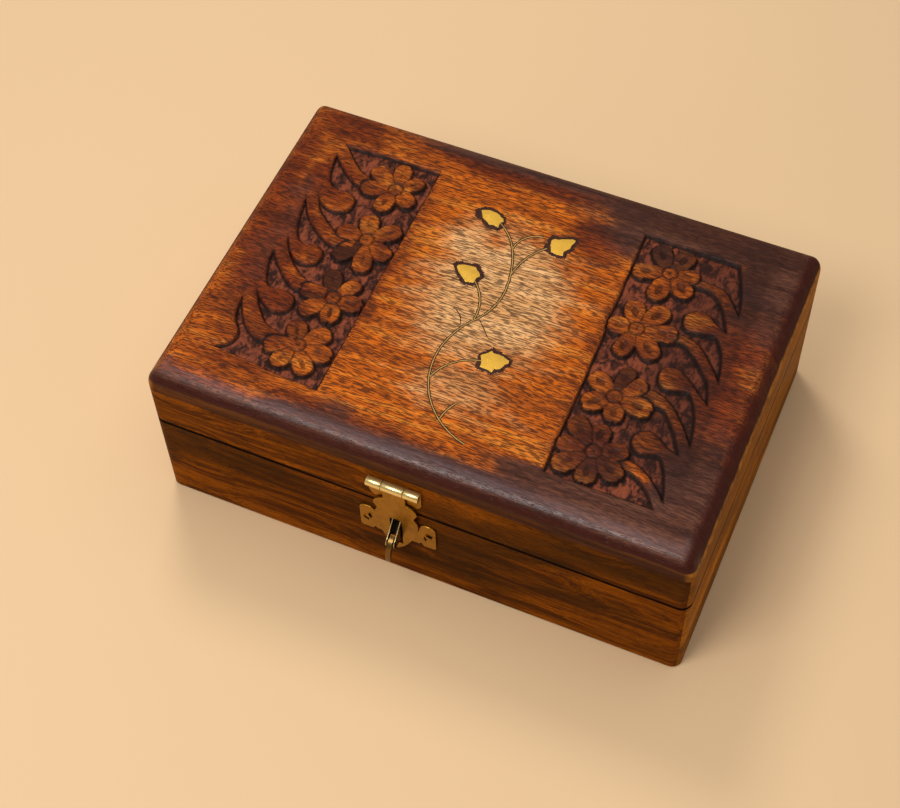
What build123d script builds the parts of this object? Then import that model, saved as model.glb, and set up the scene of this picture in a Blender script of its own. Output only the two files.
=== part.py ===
from build123d import *
import os

# A carved wooden keepsake box with a hinged lid and a brass hasp and hook.
# Millimetres. X runs along the length, the front faces -Y, Z is up, and the origin
# is the middle of the base's underside.

# Box
box_length = 200.0
box_depth = 140.0
base_height = 43.5
lid_height = 27.5
wall = 9.0
corner_radius = 4.0
rim_bevel = 0.6
foot_bevel = 0.9

# Boards
top_board = 9.0
bullnose = 7.5
bottom_board = 5.0
bottom_rebate = 4.5
board_fit = 0.1

# Velvet-covered card
lining = 1.2
lining_drop = 2.0

# Carved end panels of the lid
carving_depth = 2.0
carving_width = 41.5
carving_end_margin = 17.0
carving_side_margin = 18.0
flower_count = 4
flower_inset = 13.0
petal_count = 6
petal_reach = 7.4
petal_radius = 3.3
flower_core = 5.4
stem_width = 5.0
bud_inset = 28.5
bud_radius = 4.6

# Inlay of the lid
bed_depth = 1.6
leaf_thickness = 1.2
wire_width = 0.9
wire_depth = 1.2

# Hinges at the back of the seam
hinge_inset = 40.0
hinge_width = 24.0
hinge_leaf = 1.0
hinge_leaf_reach = 8.0
hinge_barrel_radius = 2.0
hinge_pin_radius = 1.0
hinge_middle_knuckle = 8.0
hinge_stand_off = 0.2
knuckle_gap = 0.2
pin_clearance = 0.05
screw_spread = 15.0
screw_setback = 4.2
screw_radius = 0.8
screw_head_radius = 1.5
screw_length = 9.0

# Hasp, on the lid's front
latch_x = -5.2
brass_sheet = 0.8
barrel_above_seam = 14.0
barrel_length = 19.4
barrel_radius = 1.8
hasp_pin_radius = 0.95
hasp_knuckle = 8.0
hasp_gap = 0.3
hasp_length = 39.5
small_lobe_width = 16.4
small_lobe_drop = 12.9
waist_width = 13.6
waist_drop = 15.9
broad_lobe_width = 16.6
broad_lobe_drop = 21.0
slot_foot = 35.5
lid_plate_drop = 10.4
nail_radius = 0.5
nail_length = 6.0
nail_head_radius = 0.95
nail_head_height = 0.45
lid_nail_spread = 4.8
lid_nail_drop = 6.7

# Staple and hook, on the base's front
staple_drop = 26.5
staple_width = 28.8
staple_height = 14.0
ear_width = 5.6
ear_notch = 5.4
staple_nail_spread = 22.4
bracket_sheet = 0.7
bracket_below = 3.5
bracket_above = 7.6
bracket_nose = 2.4
hook_thickness = 1.8
hook_side_gap = 0.3
slot_gap = 0.3
pivot_out = 5.5
pivot_drop = 28.5
pivot_radius = 0.6
boss_radius = 2.0

# Places that follow from these sizes
box_height = base_height + lid_height
rail_top = box_height - top_board
barrel_z = base_height + barrel_above_seam
pivot_z = barrel_z - pivot_drop
hasp_back = brass_sheet + hasp_gap
bracket_width = hook_thickness + 2 * (hook_side_gap + bracket_sheet)
hinge_y = box_depth / 2 + hinge_barrel_radius + hinge_stand_off
hinge_x = box_length / 2 - hinge_inset
inner_length = box_length - 2 * wall
inner_depth = box_depth - 2 * wall
panel_half = box_depth / 2 - carving_side_margin
panel_inner = box_length / 2 - carving_end_margin - carving_width
flower_pitch = 2 * panel_half / flower_count
past = 5.0  # how far a cutter runs past what it cuts


def block(length, depth, low, high):
    """An upright rectangular block, centred on the box."""
    return Pos(0, 0, low) * extrude(Rectangle(length, depth), high - low)


def rounded_block(low, high):
    """A block of the box's outline, with its upright corners rounded."""
    return Pos(0, 0, low) * extrude(RectangleRounded(box_length, box_depth, corner_radius), high - low)


def front(out):
    """The plane parallel to the front face and out in front of it, facing away from the box."""
    return Plane.XZ.offset(box_depth / 2 + out)


def rod(radius, length, y, z):
    """A round bar along X, centred on X = 0."""
    return Pos(-length / 2, y, z) * extrude(Plane.YZ * Circle(radius), length)


def both_halves(outline):
    """A face from the half outline on its right-hand side, closed along the middle."""
    half = make_face(outline + Line(outline @ 1, outline @ 0))
    return half + mirror(half, about=Plane.YZ)


# ---- Wooden walls ----


def mitred(ring):
    """The four walls of a ring, parted along the mitres of its corners."""
    x_out = box_length / 2 + past
    y_out = box_depth / 2 + past
    x_in = box_length / 2 - wall
    y_in = box_depth / 2 - wall
    walls = {}
    for name, side in (("front", -1), ("back", 1)):
        outer = [(-x_out, side * y_out), (x_out, side * y_out)]
        inner = [(x_in, side * y_in), (-x_in, side * y_in)]
        wedge = Polyline(*outer, *inner, close=True)
        walls[name] = ring & extrude(make_face(wedge), box_height)
    for name, side in (("left", -1), ("right", 1)):
        outer = [(side * x_out, -y_out), (side * x_out, y_out)]
        inner = [(side * x_in, y_in), (side * x_in, -y_in)]
        wedge = Polyline(*outer, *inner, close=True)
        walls[name] = ring & extrude(make_face(wedge), box_height)
    return walls


def base_walls():
    """The base's walls, with a rebate under them for the bottom board."""
    ring = rounded_block(0, base_height)
    ring = chamfer(ring.edges().group_by(Axis.Z)[-1], rim_bevel)
    ring = chamfer(ring.edges().group_by(Axis.Z)[0], foot_bevel)
    ring -= block(inner_length, inner_depth, -past, base_height + past)
    ring -= block(inner_length + 2 * bottom_rebate, inner_depth + 2 * bottom_rebate, -past, bottom_board)
    return mitred(ring)


def lid_rails():
    """The lid's rails, from the seam up to the carved board."""
    ring = rounded_block(base_height, rail_top)
    ring = chamfer(ring.edges().group_by(Axis.Z)[0], rim_bevel)
    ring -= block(inner_length, inner_depth, base_height - past, rail_top + past)
    return mitred(ring)


def bottom():
    """The bottom board, let into the rebate and flush with the walls' feet."""
    room = 2 * (bottom_rebate - board_fit)
    return block(inner_length + room, inner_depth + room, 0, bottom_board)


# ---- Linings ----


def linings():
    """Card panels on the floor, on the walls and under the lid."""
    length = inner_length - 2 * board_fit
    depth = inner_depth - 2 * board_fit
    low = bottom_board + lining
    high = base_height - lining_drop
    panels = {
        "base_floor_lining": block(length, depth, bottom_board, low),
        "lid_lining": block(length, depth, rail_top - lining, rail_top),
    }
    along = block(length, lining, low, high)
    across = block(lining, inner_depth - 2 * lining - 2 * board_fit, low, high)
    for name, side in (("front", -1), ("back", 1)):
        panels[f"base_{name}_lining"] = Pos(0, side * (inner_depth - lining) / 2, 0) * along
    for name, side in (("left", -1), ("right", 1)):
        panels[f"base_{name}_lining"] = Pos(side * (inner_length - lining) / 2, 0, 0) * across
    return panels


# ---- Carved lid board ----


def bullnosed_board():
    """The lid's board, with a quarter round along all four top edges."""
    low = Pos(0, 0, rail_top)
    across = low * extrude(Plane.XZ * crowned(box_length), box_depth / 2, both=True)
    along = low * extrude(Plane.YZ * crowned(box_depth), box_length / 2, both=True)
    return rounded_block(rail_top, box_height) & across & along


def crowned(width):
    """An end view of the board: a rectangle on the axis with both upper corners rounded."""
    section = Pos(0, top_board / 2) * Rectangle(width, top_board)
    return fillet(section.vertices().group_by(Axis.Y)[-1], bullnose)


def flower():
    """Rounded petals about a core, one of them pointing along its stem."""
    stem_petal = -10
    petal = Pos(petal_reach, 0) * Circle(petal_radius)
    shape = Sketch() + Circle(flower_core)
    for index in range(petal_count):
        shape += Rot(0, 0, stem_petal + index * 360 / petal_count) * petal
    return shape


def stem():
    """The stem of one flower, from its petal out to the bank: X counts from the panel's straight edge."""
    petal = flower_inset + petal_reach
    bank = carving_width
    lower = ThreePointArc((petal, -stem_width), (bank - 8.5, -1.2), (bank, 10))
    upper = ThreePointArc((petal, 0), (bank - 8.5, stem_width + 1.0), (bank, 20))
    return make_face([lower, upper, Line(lower @ 0, upper @ 0), Line(lower @ 1, upper @ 1)])


def bud():
    """A round bud on a curved neck that widens to the bank, below its flower."""
    bank = carving_width
    middle = -flower_pitch / 2
    top = (bud_inset, middle + bud_radius)
    foot = (bud_inset, middle - bud_radius)
    neck = ThreePointArc(top, (bank - 4, middle + 8.6), (bank, 10))
    throat = ThreePointArc(foot, (bank - 5.3, middle - 0.9), (bank, middle + 6.5))
    head = ThreePointArc(top, (bud_inset - bud_radius, middle), foot)
    within = Polyline(neck @ 1, (bank + past, 10), (bank + past, middle + 6.5), throat @ 1)
    return make_face([neck, head, throat] + within.edges())


def half_bud():
    """The bank's last bulge, cut off by the panel's end."""
    bank = carving_width
    end = -flower_pitch / 2
    neck = ThreePointArc((bank, 10), (bank - 3.2, 1), (bank - 5.2, end + 7.5))
    bulge = ThreePointArc(neck @ 1, (bank - 4.2, end + 2.2), (bank, end))
    within = Polyline((bank, end), (bank + past, end), (bank + past, 10), (bank, 10))
    return make_face([neck, bulge] + within.edges())


def flower_places():
    """How far each flower's middle lies from the middle of its panel."""
    return [panel_half - (index + 0.5) * flower_pitch for index in range(flower_count)]


def carving():
    """The sunk ground of one end panel. X counts from its straight inner edge, Y along it."""
    ground = Pos(carving_width / 2, 0) * Rectangle(carving_width, 2 * panel_half)
    standing = Sketch()
    for middle in flower_places():
        bulge = bud() if middle > flower_places()[-1] else half_bud()
        standing += Pos(0, middle) * (stem() + bulge)
        standing += Pos(flower_inset, middle) * flower()
    return ground - standing


# ---- Inlay: each leaf is a hand-cut plate in a bed of dark filler ----

leaf_outlines = {
    "upper_left": [(-21.3, 40.8), (-16.0, 42.0), (-12.5, 40.2), (-12.2, 35.2), (-16.5, 36.2), (-20.0, 37.8)],
    "upper_right": [
        (7.5, 37.5), (14.0, 40.8), (16.0, 41.0), (15.4, 35.5), (14.0, 31.9), (10.5, 31.7), (8.2, 33.5),
    ],
    "middle_left": [(-19.3, 14.2), (-16.5, 15.3), (-12.3, 15.2), (-10.0, 12.8), (-10.3, 9.0), (-14.6, 8.5)],
    "lower_right": [(4.0, -19.0), (6.5, -15.0), (14.0, -16.4), (13.6, -20.8), (9.5, -23.7), (5.8, -23.5)],
}
bed_outlines = {
    "upper_left": [(-24.0, 40.5), (-20.5, 43.3), (-13.5, 43.0), (-10.8, 40.5), (-11.2, 34.2), (-19.0, 35.6)],
    "upper_right": [
        (6.0, 39.5), (13.0, 41.8), (18.0, 41.4), (16.6, 34.5), (15.5, 31.2), (10.5, 30.6), (6.7, 32.8),
    ],
    "middle_left": [(-20.8, 14.0), (-18.0, 16.2), (-11.5, 17.0), (-8.4, 13.5), (-9.3, 7.6), (-15.5, 7.2)],
    "lower_right": [(2.8, -19.5), (6.0, -13.9), (15.6, -15.4), (14.8, -21.4), (11.0, -24.9), (4.9, -24.6)],
}
# Each wire: its first heading, then the points that its arcs run through
wire_routes = {
    "main": [(-4, 1), (13.5, -54.0), (-9.8, -26.0), (-3.5, -5.5), (1.5, 11.0), (-3.5, 29.0), (-12.0, 38.2)],
    "upper_right": [(1, 12), (0.6, 18.0), (8.0, 33.6)],
    "upper_tendril": [(0, 1), (-3.2, 29.1), (5.0, 37.8)],
    "middle_left": [(1, 12), (-3.8, -5.3), (-10.5, 10.6)],
    "lower_right": [(1, 4), (-8.1, -33.4), (5.5, -20.6)],
    "lower_tendril": [(1, 12), (1.8, -47.7), (4.4, -40.2)],
}


def wire_face(heading, points):
    """A band of even width along tangent arcs, from a first heading through the points."""
    route = [TangentArc(points[0], points[1], tangent=heading)]
    for point in points[2:]:
        route.append(TangentArc(route[-1] @ 1, point, tangent=route[-1] % 1))
    return make_face(offset(Wire(route), wire_width / 2, side=Side.BOTH))


def sunk(face, depth):
    """What a flat shape on the lid's top face takes up below that face."""
    return Pos(0, 0, box_height) * extrude(face, -depth)


def inlay():
    """The brass leaves, their beds and the wires of the vine, flush with the lid."""
    pieces = {}
    beds = Part()
    for name, points in bed_outlines.items():
        leaf = sunk(make_face(Polyline(*leaf_outlines[name], close=True)), leaf_thickness)
        bed = sunk(make_face(Polyline(*points, close=True)), bed_depth)
        beds += bed
        pieces[f"inlay_leaf_{name}"] = leaf
        pieces[f"inlay_bed_{name}"] = bed - leaf
    laid = beds
    for name, points in wire_routes.items():
        wire = sunk(wire_face(points[0], points[1:]), wire_depth) - laid
        laid += wire
        pieces[f"inlay_wire_{name}"] = wire
    return pieces, laid


def lid_board(laid):
    """The board with both carved panels cut, and pockets for all that is laid into it."""
    board = bullnosed_board()
    ground = Pos(-panel_inner, 0) * mirror(carving(), about=Plane.YZ)
    for turn in (0, 180):
        board -= Rot(0, 0, turn) * sunk(ground, carving_depth)
    return board - laid


# ---- Hinges ----


def hinge_leaf_solid(x, side):
    """One leaf let into a rim at the seam: side -1 is the base's, with the outer knuckles."""
    low = base_height if side > 0 else base_height - hinge_leaf
    plate = Pos(x, box_depth / 2 - hinge_leaf_reach / 2, low) * extrude(
        Rectangle(hinge_width, hinge_leaf_reach), hinge_leaf
    )
    outer = (hinge_width - hinge_middle_knuckle) / 2 - knuckle_gap
    if side > 0:
        knuckles = [(0.0, hinge_middle_knuckle)]
        bore = hinge_pin_radius + pin_clearance
    else:
        middle = (hinge_width - outer) / 2
        knuckles = [(-middle, outer), (middle, outer)]
        bore = hinge_pin_radius
    reach = hinge_y - box_depth / 2
    for offset, length in knuckles:
        strip = extrude(Rectangle(length, reach), hinge_leaf)
        bridge = Pos(x + offset, (box_depth + reach) / 2, low) * strip
        knuckle = Pos(x + offset, 0, 0) * rod(hinge_barrel_radius, length, hinge_y, base_height)
        plate += bridge + knuckle
    return plate - Pos(x, 0, 0) * rod(bore, hinge_width + past, hinge_y, base_height)


def screw(x, side):
    """A countersunk screw, its head flush with the face of its leaf."""
    head = [(0, 0), (screw_head_radius, 0), (screw_radius, hinge_leaf)]
    shank = [(screw_radius, screw_length), (0, screw_length)]
    outline = Polyline(*head, *shank, close=True)
    body = revolve(Plane.XZ * make_face(outline), Axis.Z)
    upright = 0 if side > 0 else 180
    return Pos(x, box_depth / 2 - screw_setback, base_height) * Rot(upright, 0, 0) * body


def hinges():
    """Both hinges: their leaves, their pins and the screws of each rim."""
    pieces = {}
    pins = []
    for name, x in (("left", -hinge_x), ("right", hinge_x)):
        for rim, side in (("base", -1), ("lid", 1)):
            pieces[f"hinge_{name}_{rim}_leaf"] = hinge_leaf_solid(x, side)
        pins.append(Pos(x, 0, 0) * rod(hinge_pin_radius, hinge_width, hinge_y, base_height))
    for rim, side in (("base", -1), ("lid", 1)):
        screws = [
            screw(hinge + spread, side)
            for hinge in (-hinge_x, hinge_x)
            for spread in (-screw_spread / 2, screw_spread / 2)
        ]
        pieces[f"hinge_{rim}_screws"] = Compound(screws)
        for name in ("left", "right"):
            leaf = f"hinge_{name}_{rim}_leaf"
            pieces[leaf] -= screws
    pieces["hinge_pins"] = Compound(pins)
    return pieces


# ---- Hasp ----


def barrel_piece(radius, length, x=0.0):
    """A round bar on the axis of the hasp's barrel."""
    return Pos(latch_x + x, 0, 0) * rod(radius, length, -box_depth / 2 - barrel_radius, barrel_z)


def on_front(face, drop, out, thickness):
    """A flat shape on the front, its origin at the latch's middle and below the barrel's axis."""
    return extrude(front(out) * Pos(latch_x, barrel_z - drop) * face, thickness)


def nail(x, z, out, head_height):
    """A nail driven in from the front: domed where its head stands out, else flush."""
    shank = Circle(nail_radius)
    head = Circle(nail_head_radius)
    body = extrude(front(-nail_length) * Pos(x, z) * shank, nail_length + out)
    if head_height > 0:
        cap = extrude(front(out) * Pos(x, z) * head, head_height, taper=40)
    else:
        cap = extrude(front(out) * Pos(x, z) * head, -brass_sheet / 2)
    return body + cap


def lid_plate():
    """The plate on the lid, with the two outer knuckles rolled from it."""
    half = barrel_length / 2
    foot = -lid_plate_drop
    outline = (
        Line((0, 0), (half, 0))
        + Line((half, 0), (half, foot + 3.6))
        + ThreePointArc((half, foot + 3.6), (half - 1.1, foot + 1.4), (half - 4.5, foot))
        + Line((half - 4.5, foot), (0, foot))
    )
    plate = on_front(both_halves(outline), 0, 0, brass_sheet)
    window = hasp_knuckle + 2 * knuckle_gap
    plate -= on_front(Rectangle(window, 2 * (barrel_radius + hasp_gap)), 0, -past, 3 * past)
    outer = (barrel_length - window) / 2
    for side in (-1, 1):
        plate += barrel_piece(barrel_radius, outer, side * (barrel_length - outer) / 2)
    return plate - barrel_piece(hasp_pin_radius, barrel_length + past)


def hasp():
    """The swinging leaf: a pair of small lobes, then a broad one that tapers to a rounded foot."""
    neck = hasp_knuckle / 2
    small = small_lobe_width / 2
    waist = (waist_width / 2, -waist_drop)
    broad = broad_lobe_width / 2
    shoulder = (neck + 0.3, 4.2 - small_lobe_drop)
    tip = (small, -small_lobe_drop)
    taper = hasp_length - broad_lobe_drop
    outline = (
        Line((0, 0), (neck, 0))
        + Line((neck, 0), shoulder)
        + ThreePointArc(shoulder, (small - 1.2, 2.7 - small_lobe_drop), tip)
        + ThreePointArc(tip, (small - 0.2, -small_lobe_drop - 1.8), waist)
        + Spline(
            waist,
            (broad, -broad_lobe_drop),
            (0.77 * broad, -broad_lobe_drop - 0.43 * taper),
            (0.385 * broad, -broad_lobe_drop - 0.79 * taper),
            (0, -hasp_length),
        )
    )
    leaf = on_front(both_halves(outline), 0, hasp_back, brass_sheet)
    slot_top = pivot_drop - bracket_above - slot_gap
    slot = Rectangle(bracket_width + 2 * slot_gap, slot_foot - slot_top)
    leaf -= on_front(slot, (slot_top + slot_foot) / 2, 0, past)
    leaf += barrel_piece(barrel_radius, hasp_knuckle)
    return leaf - barrel_piece(hasp_pin_radius + pin_clearance, barrel_length)


# ---- Staple and hook ----


def staple_plate():
    """The plate on the base, with a notched and rounded ear on each side of the hasp."""
    edge = staple_width / 2
    ear = edge - ear_width
    top = staple_height / 2
    outline = (
        Line((0, top - 2.0), (ear - 2.6, top - 2.0))
        + Line((ear - 2.6, top - 2.0), (ear - 1.2, top - ear_notch))
        + Line((ear - 1.2, top - ear_notch), (ear, top - 1.2))
        + ThreePointArc((ear, top - 1.2), (ear + 0.8, top - 0.3), (ear + 2.0, top))
        + Line((ear + 2.0, top), (edge - 2.4, top))
        + ThreePointArc((edge - 2.4, top), (edge - 0.7, top - 0.7), (edge, top - 2.4))
        + Line((edge, top - 2.4), (edge, 1.2 - top))
        + ThreePointArc((edge, 1.2 - top), (edge - 0.35, 0.35 - top), (edge - 1.2, -top))
        + Line((edge - 1.2, -top), (ear + 1.0, -top))
        + Line((ear + 1.0, -top), (ear, 1.6 - top))
        + Line((ear, 1.6 - top), (ear - 1.0, 0.6 - top))
        + Line((ear - 1.0, 0.6 - top), (0, 0.6 - top))
    )
    return on_front(both_halves(outline), staple_drop, 0, brass_sheet)


def side_view(face):
    """A shape drawn as seen from the right (X out from the front face, Y up), set on the latch."""
    return Plane((latch_x, -box_depth / 2, 0), x_dir=(0, -1, 0), z_dir=(-1, 0, 0)) * face


def bracket():
    """A folded strip on the staple plate: two cheeks that hold the hook's pivot between them."""
    low = pivot_z - bracket_below
    high = pivot_z + bracket_above
    root = Line((brass_sheet, low), (brass_sheet, high))
    nose = Pos(pivot_out, pivot_z) * Circle(bracket_nose)
    cheek = make_hull(root.edges() + nose.edges())
    solid = extrude(side_view(cheek), bracket_width / 2, both=True)
    room = Pos(brass_sheet + bracket_sheet + past * 2, pivot_z) * Rectangle(past * 4, 6 * past)
    solid -= extrude(side_view(room), bracket_width / 2 - bracket_sheet, both=True)
    return solid


def hook():
    """The catch that hangs from the pivot in front of the hasp, bent down to a blunt point."""
    joints = [(pivot_out, pivot_z, boss_radius)]
    for out, drop, radius in ((2.5, 0.4, 1.25), (3.8, 4.0, 0.85), (4.1, 7.2, 0.5)):
        joints.append((pivot_out + out, pivot_z - drop, radius))
    shape = Sketch()
    for near, far in zip(joints, joints[1:]):
        circles = [Pos(out, z) * Circle(radius) for out, z, radius in (near, far)]
        shape += make_hull(circles[0].edges() + circles[1].edges())
    shape -= Pos(pivot_out, pivot_z) * Circle(pivot_radius + pin_clearance)
    return extrude(side_view(shape), hook_thickness / 2, both=True)


def latch():
    """The hasp on the lid, and the staple with its hook on the base."""
    pivot = extrude(side_view(Pos(pivot_out, pivot_z) * Circle(pivot_radius)), bracket_width / 2, both=True)
    lid_nails = [
        nail(latch_x + side * lid_nail_spread / 2, barrel_z - lid_nail_drop, brass_sheet, 0)
        for side in (-1, 1)
    ]
    staple_nails = [
        nail(latch_x + side * staple_nail_spread / 2, barrel_z - staple_drop, brass_sheet, nail_head_height)
        for side in (-1, 1)
    ]
    return {
        "hasp_lid_plate": lid_plate() - lid_nails,
        "hasp_lid_nails": Compound(lid_nails),
        "hasp_pin": barrel_piece(hasp_pin_radius, barrel_length),
        "hasp_leaf": hasp(),
        "staple_plate": staple_plate() - staple_nails,
        "staple_nails": Compound(staple_nails),
        "hook_bracket": bracket() - pivot,
        "hook_pivot": pivot,
        "hook": hook(),
    }


# ---- The whole box ----

pieces, laid = inlay()
pieces["lid_top_board"] = lid_board(laid)
pieces["base_bottom_board"] = bottom()
pieces.update(linings())
pieces.update(hinges())
pieces.update(latch())

# Walls and rails, cut for the leaves, screws and nails that are let into them
let_in = {
    "base": ["hinge_left_base_leaf", "hinge_right_base_leaf", "hinge_base_screws", "staple_nails"],
    "lid": ["hinge_left_lid_leaf", "hinge_right_lid_leaf", "hinge_lid_screws", "hasp_lid_nails"],
}
for name, walls, kind in (("base", base_walls(), "wall"), ("lid", lid_rails(), "rail")):
    for side, solid in walls.items():
        for cutter in let_in[name]:
            solid -= pieces[cutter]
        pieces[f"{name}_{side}_{kind}"] = solid

os.makedirs("parts", exist_ok=True)
for name, solid in pieces.items():
    export_step(solid, f"parts/{name}.step")
    print(name, len(solid.solids()), round(solid.volume, 1))
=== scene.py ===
"""A keepsake box with a carved and inlaid lid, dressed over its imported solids."""

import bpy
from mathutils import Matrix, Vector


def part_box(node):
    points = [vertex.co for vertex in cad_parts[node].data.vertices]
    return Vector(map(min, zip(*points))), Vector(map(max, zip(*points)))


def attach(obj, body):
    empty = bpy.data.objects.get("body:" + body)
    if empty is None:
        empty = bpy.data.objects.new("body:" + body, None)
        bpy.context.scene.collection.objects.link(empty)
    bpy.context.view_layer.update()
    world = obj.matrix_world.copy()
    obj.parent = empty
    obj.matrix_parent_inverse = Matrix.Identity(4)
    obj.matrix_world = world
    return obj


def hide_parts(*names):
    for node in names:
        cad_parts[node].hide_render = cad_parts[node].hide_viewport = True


bl_info = {
    "name": "Keepsake Box",
    "version": (1, 0, 0),
    "blender": (4, 5, 0),
    "location": "View3D > Sidebar > Keepsake Box",
    "description": "Carves, inlays, stains and lights a hinged wooden keepsake box with a brass hasp",
    "category": "Object",
}

import math

import bpy
import mathutils
import numpy as np

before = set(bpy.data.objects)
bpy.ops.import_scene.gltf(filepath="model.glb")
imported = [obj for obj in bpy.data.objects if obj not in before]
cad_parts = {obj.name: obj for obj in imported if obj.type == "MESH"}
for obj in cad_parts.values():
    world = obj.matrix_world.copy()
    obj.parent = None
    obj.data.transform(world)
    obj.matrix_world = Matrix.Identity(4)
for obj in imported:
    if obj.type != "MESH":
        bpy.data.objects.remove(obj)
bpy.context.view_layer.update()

MM = 0.001
# Radius of the box's upright corners, in millimetres
CORNER = 4.0


def box_of(node):
    """A CAD node's low corner, high corner and middle, in millimetres."""
    low, high = (np.array(corner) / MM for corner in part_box(node))
    return low, high, (low + high) / 2


# Sizes and places of the box and its latch, in millimetres, from the CAD nodes
(_, _, BOARD_FOOT), (BOARD_HALF_LENGTH, BOARD_HALF_DEPTH, BOARD_TOP), _ = box_of("lid_top_board")
_, FRONT_Y, SEAM_Z = box_of("lid_front_rail")[0]
LATCH_X, barrel_y, BARREL_Z = box_of("hasp_pin")[2]
BARREL_RADIUS = FRONT_Y - barrel_y
_, pivot_y, PIVOT_Z = box_of("hook_pivot")[2]
PIVOT_OUT = FRONT_Y - pivot_y
STAPLE_Z = box_of("staple_plate")[2][2]
SCREW_Y = box_of("hinge_base_screws")[2][1]


# ---- Sizes and colours that a user would change ----


def size_property(name, description, default):
    """A length in metres, given here in millimetres."""
    return bpy.props.FloatProperty(
        name=name, description=description, default=default * MM, unit="LENGTH", precision=5
    )


def number_property(name, description, default):
    """A plain number."""
    return bpy.props.FloatProperty(name=name, description=description, default=default)


def linear(red, green, blue):
    """Display values from 0 to 255 as linear light, with full opacity."""
    share = np.array([red, green, blue]) / 255.0
    light = np.where(share <= 0.04045, share / 12.92, ((share + 0.055) / 1.055) ** 2.4)
    return (*light.tolist(), 1.0)


def colour_property(name, description, *shown):
    """A colour, given here as display values from 0 to 255."""
    return bpy.props.FloatVectorProperty(
        name=name, description=description, default=linear(*shown), size=4, min=0.0, max=1.0, subtype="COLOR"
    )


class KeepsakeCarving(bpy.types.PropertyGroup):
    """How the lid's board is carved."""

    depth: size_property("Ground depth", "How far the carved ground lies below the lid's face", 2.0)
    wall: size_property("Wall width", "Width of the sloping wall round the ground", 0.6)
    petal_drop: size_property("Petal drop", "How far a petal's crown lies below the lid's face", 0.12)
    petal_round: size_property("Petal rounding", "Width over which a petal's edge rolls down", 0.5)
    hollow: size_property("Petal hollow", "Depth of the gouge cut in each petal", 0.8)
    eye_radius: size_property("Eye radius", "Radius of the ring cut round a flower's eye", 2.7)
    stipple: size_property("Stipple", "Height of the punch marks over the ground", 0.26)
    spacing: size_property("Grid spacing", "Distance between the surface's grid lines in the panels", 0.375)
    bullnose: size_property("Bullnose", "Radius of the quarter round along the board's edges", 7.5)
    corner: size_property("Corner radius", "Radius of the box's upright corners", CORNER)


class KeepsakeInlay(bpy.types.PropertyGroup):
    """How the vine is laid into the lid."""

    core: size_property("Wire width", "Width of the bright core of a wire", 0.42)
    groove: size_property("Groove width", "Width of the filled groove that holds a wire", 1.2)
    ragged: size_property("Raggedness", "How far the filler's edge wanders", 0.35)


class KeepsakeStains(bpy.types.PropertyGroup):
    """Colours of the wood, the metal and the lining."""

    golden: colour_property("Golden wood", "Plain wood in the middle of the lid", 204, 98, 6)
    tan: colour_property("Tan wood", "Palest wood round the vine", 242, 184, 122)
    russet: colour_property("Russet wood", "Stained wood at the lid's left end", 132, 48, 2)
    umber: colour_property("Umber wood", "Stained wood at the lid's right end and its edges", 94, 58, 46)
    ground: colour_property("Carved ground", "Scorched wood on the sunk ground", 132, 64, 38)
    pore: colour_property("Pores", "Dark pores and burnt edges", 40, 14, 6)
    wall_dark: colour_property("Dark long walls", "Dark bands along the front and the back", 82, 38, 3)
    wall_light: colour_property("Light long walls", "Light bands along the front and the back", 142, 75, 6)
    end_dark: colour_property("Dark end walls", "Dark bands along the two ends", 128, 76, 18)
    end_light: colour_property("Light end walls", "Light bands along the two ends", 194, 120, 28)
    brass: colour_property("Brass", "Satin brass of the latch's plates", 170, 120, 8)
    # Worn brass is also a painted highlight along the plates' edges
    worn_brass: colour_property("Worn brass", "Brass rubbed bright along the plates' edges", 206, 162, 70)
    bright_brass: colour_property("Bright brass", "Polished brass of the latch's barrel", 244, 216, 146)
    dark_brass: colour_property("Dark brass", "Tarnished brass of the hook and its cheeks", 128, 98, 52)
    old_brass: colour_property("Inlaid brass", "Brass laid into the lid", 255, 196, 72)
    wire: colour_property("Worn wire", "Dull brass of the inlaid wires", 224, 178, 92)
    filler: colour_property("Filler", "Dark filler round the inlay", 70, 30, 12)
    velvet: colour_property("Velvet", "Pile of the lining", 96, 12, 26)


class KeepsakeStage(bpy.types.PropertyGroup):
    """Floor, lamps and camera."""

    floor: colour_property("Floor", "Plain pale floor", 230, 194, 150)
    reach: size_property("Floor reach", "Half of the floor's width", 30000.0)
    key: number_property("Key lamp", "Power of the large lamp overhead", 3.4)
    fill: number_property("Fill lamp", "Power of the lamp at the front left", 0.6)
    back: number_property("Back lamp", "Power of the lamp at the back left", 3.9)
    top: number_property("Top lamp", "Power of the wide lamp overhead", 5.0)
    sky: number_property("Sky", "Strength of the even light from all round", 0.24)
    lens: number_property("Lens", "Focal length in millimetres", 72.608)


# ---- Meshes ----


def grid_faces(rows, columns, wrap=False):
    """Quads between neighbouring rows and columns of a grid; wrap joins the last column to the first."""
    row = np.arange(rows - 1)[:, None] * columns
    column = np.arange(columns if wrap else columns - 1)
    after = (column + 1) % columns
    corners = [row + column, row + after, row + columns + after, row + columns + column]
    return np.stack([corner.ravel() for corner in corners], axis=1)


def piece_from(name, shape, body, node, material, smooth=35.0, marks=()):
    """A piece made from points in millimetres and faces. It rides on a body and stands for a CAD node, and
    its marks are numbers at its points for its material to read."""
    points, faces = shape
    mesh = bpy.data.meshes.new(name)
    mesh.from_pydata((points * MM).tolist(), [], faces)
    mesh.update()
    mesh.shade_smooth()
    mesh.set_sharp_from_angle(angle=math.radians(smooth))
    for mark, values in dict(marks).items():
        layer = mesh.attributes.new(mark, "FLOAT", "POINT")
        layer.data.foreach_set("value", values.astype(np.float32).ravel())
    made = bpy.data.objects.new(name, mesh)
    bpy.context.scene.collection.objects.link(made)
    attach(made, body)
    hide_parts(node)
    dress(made, material)


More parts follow.
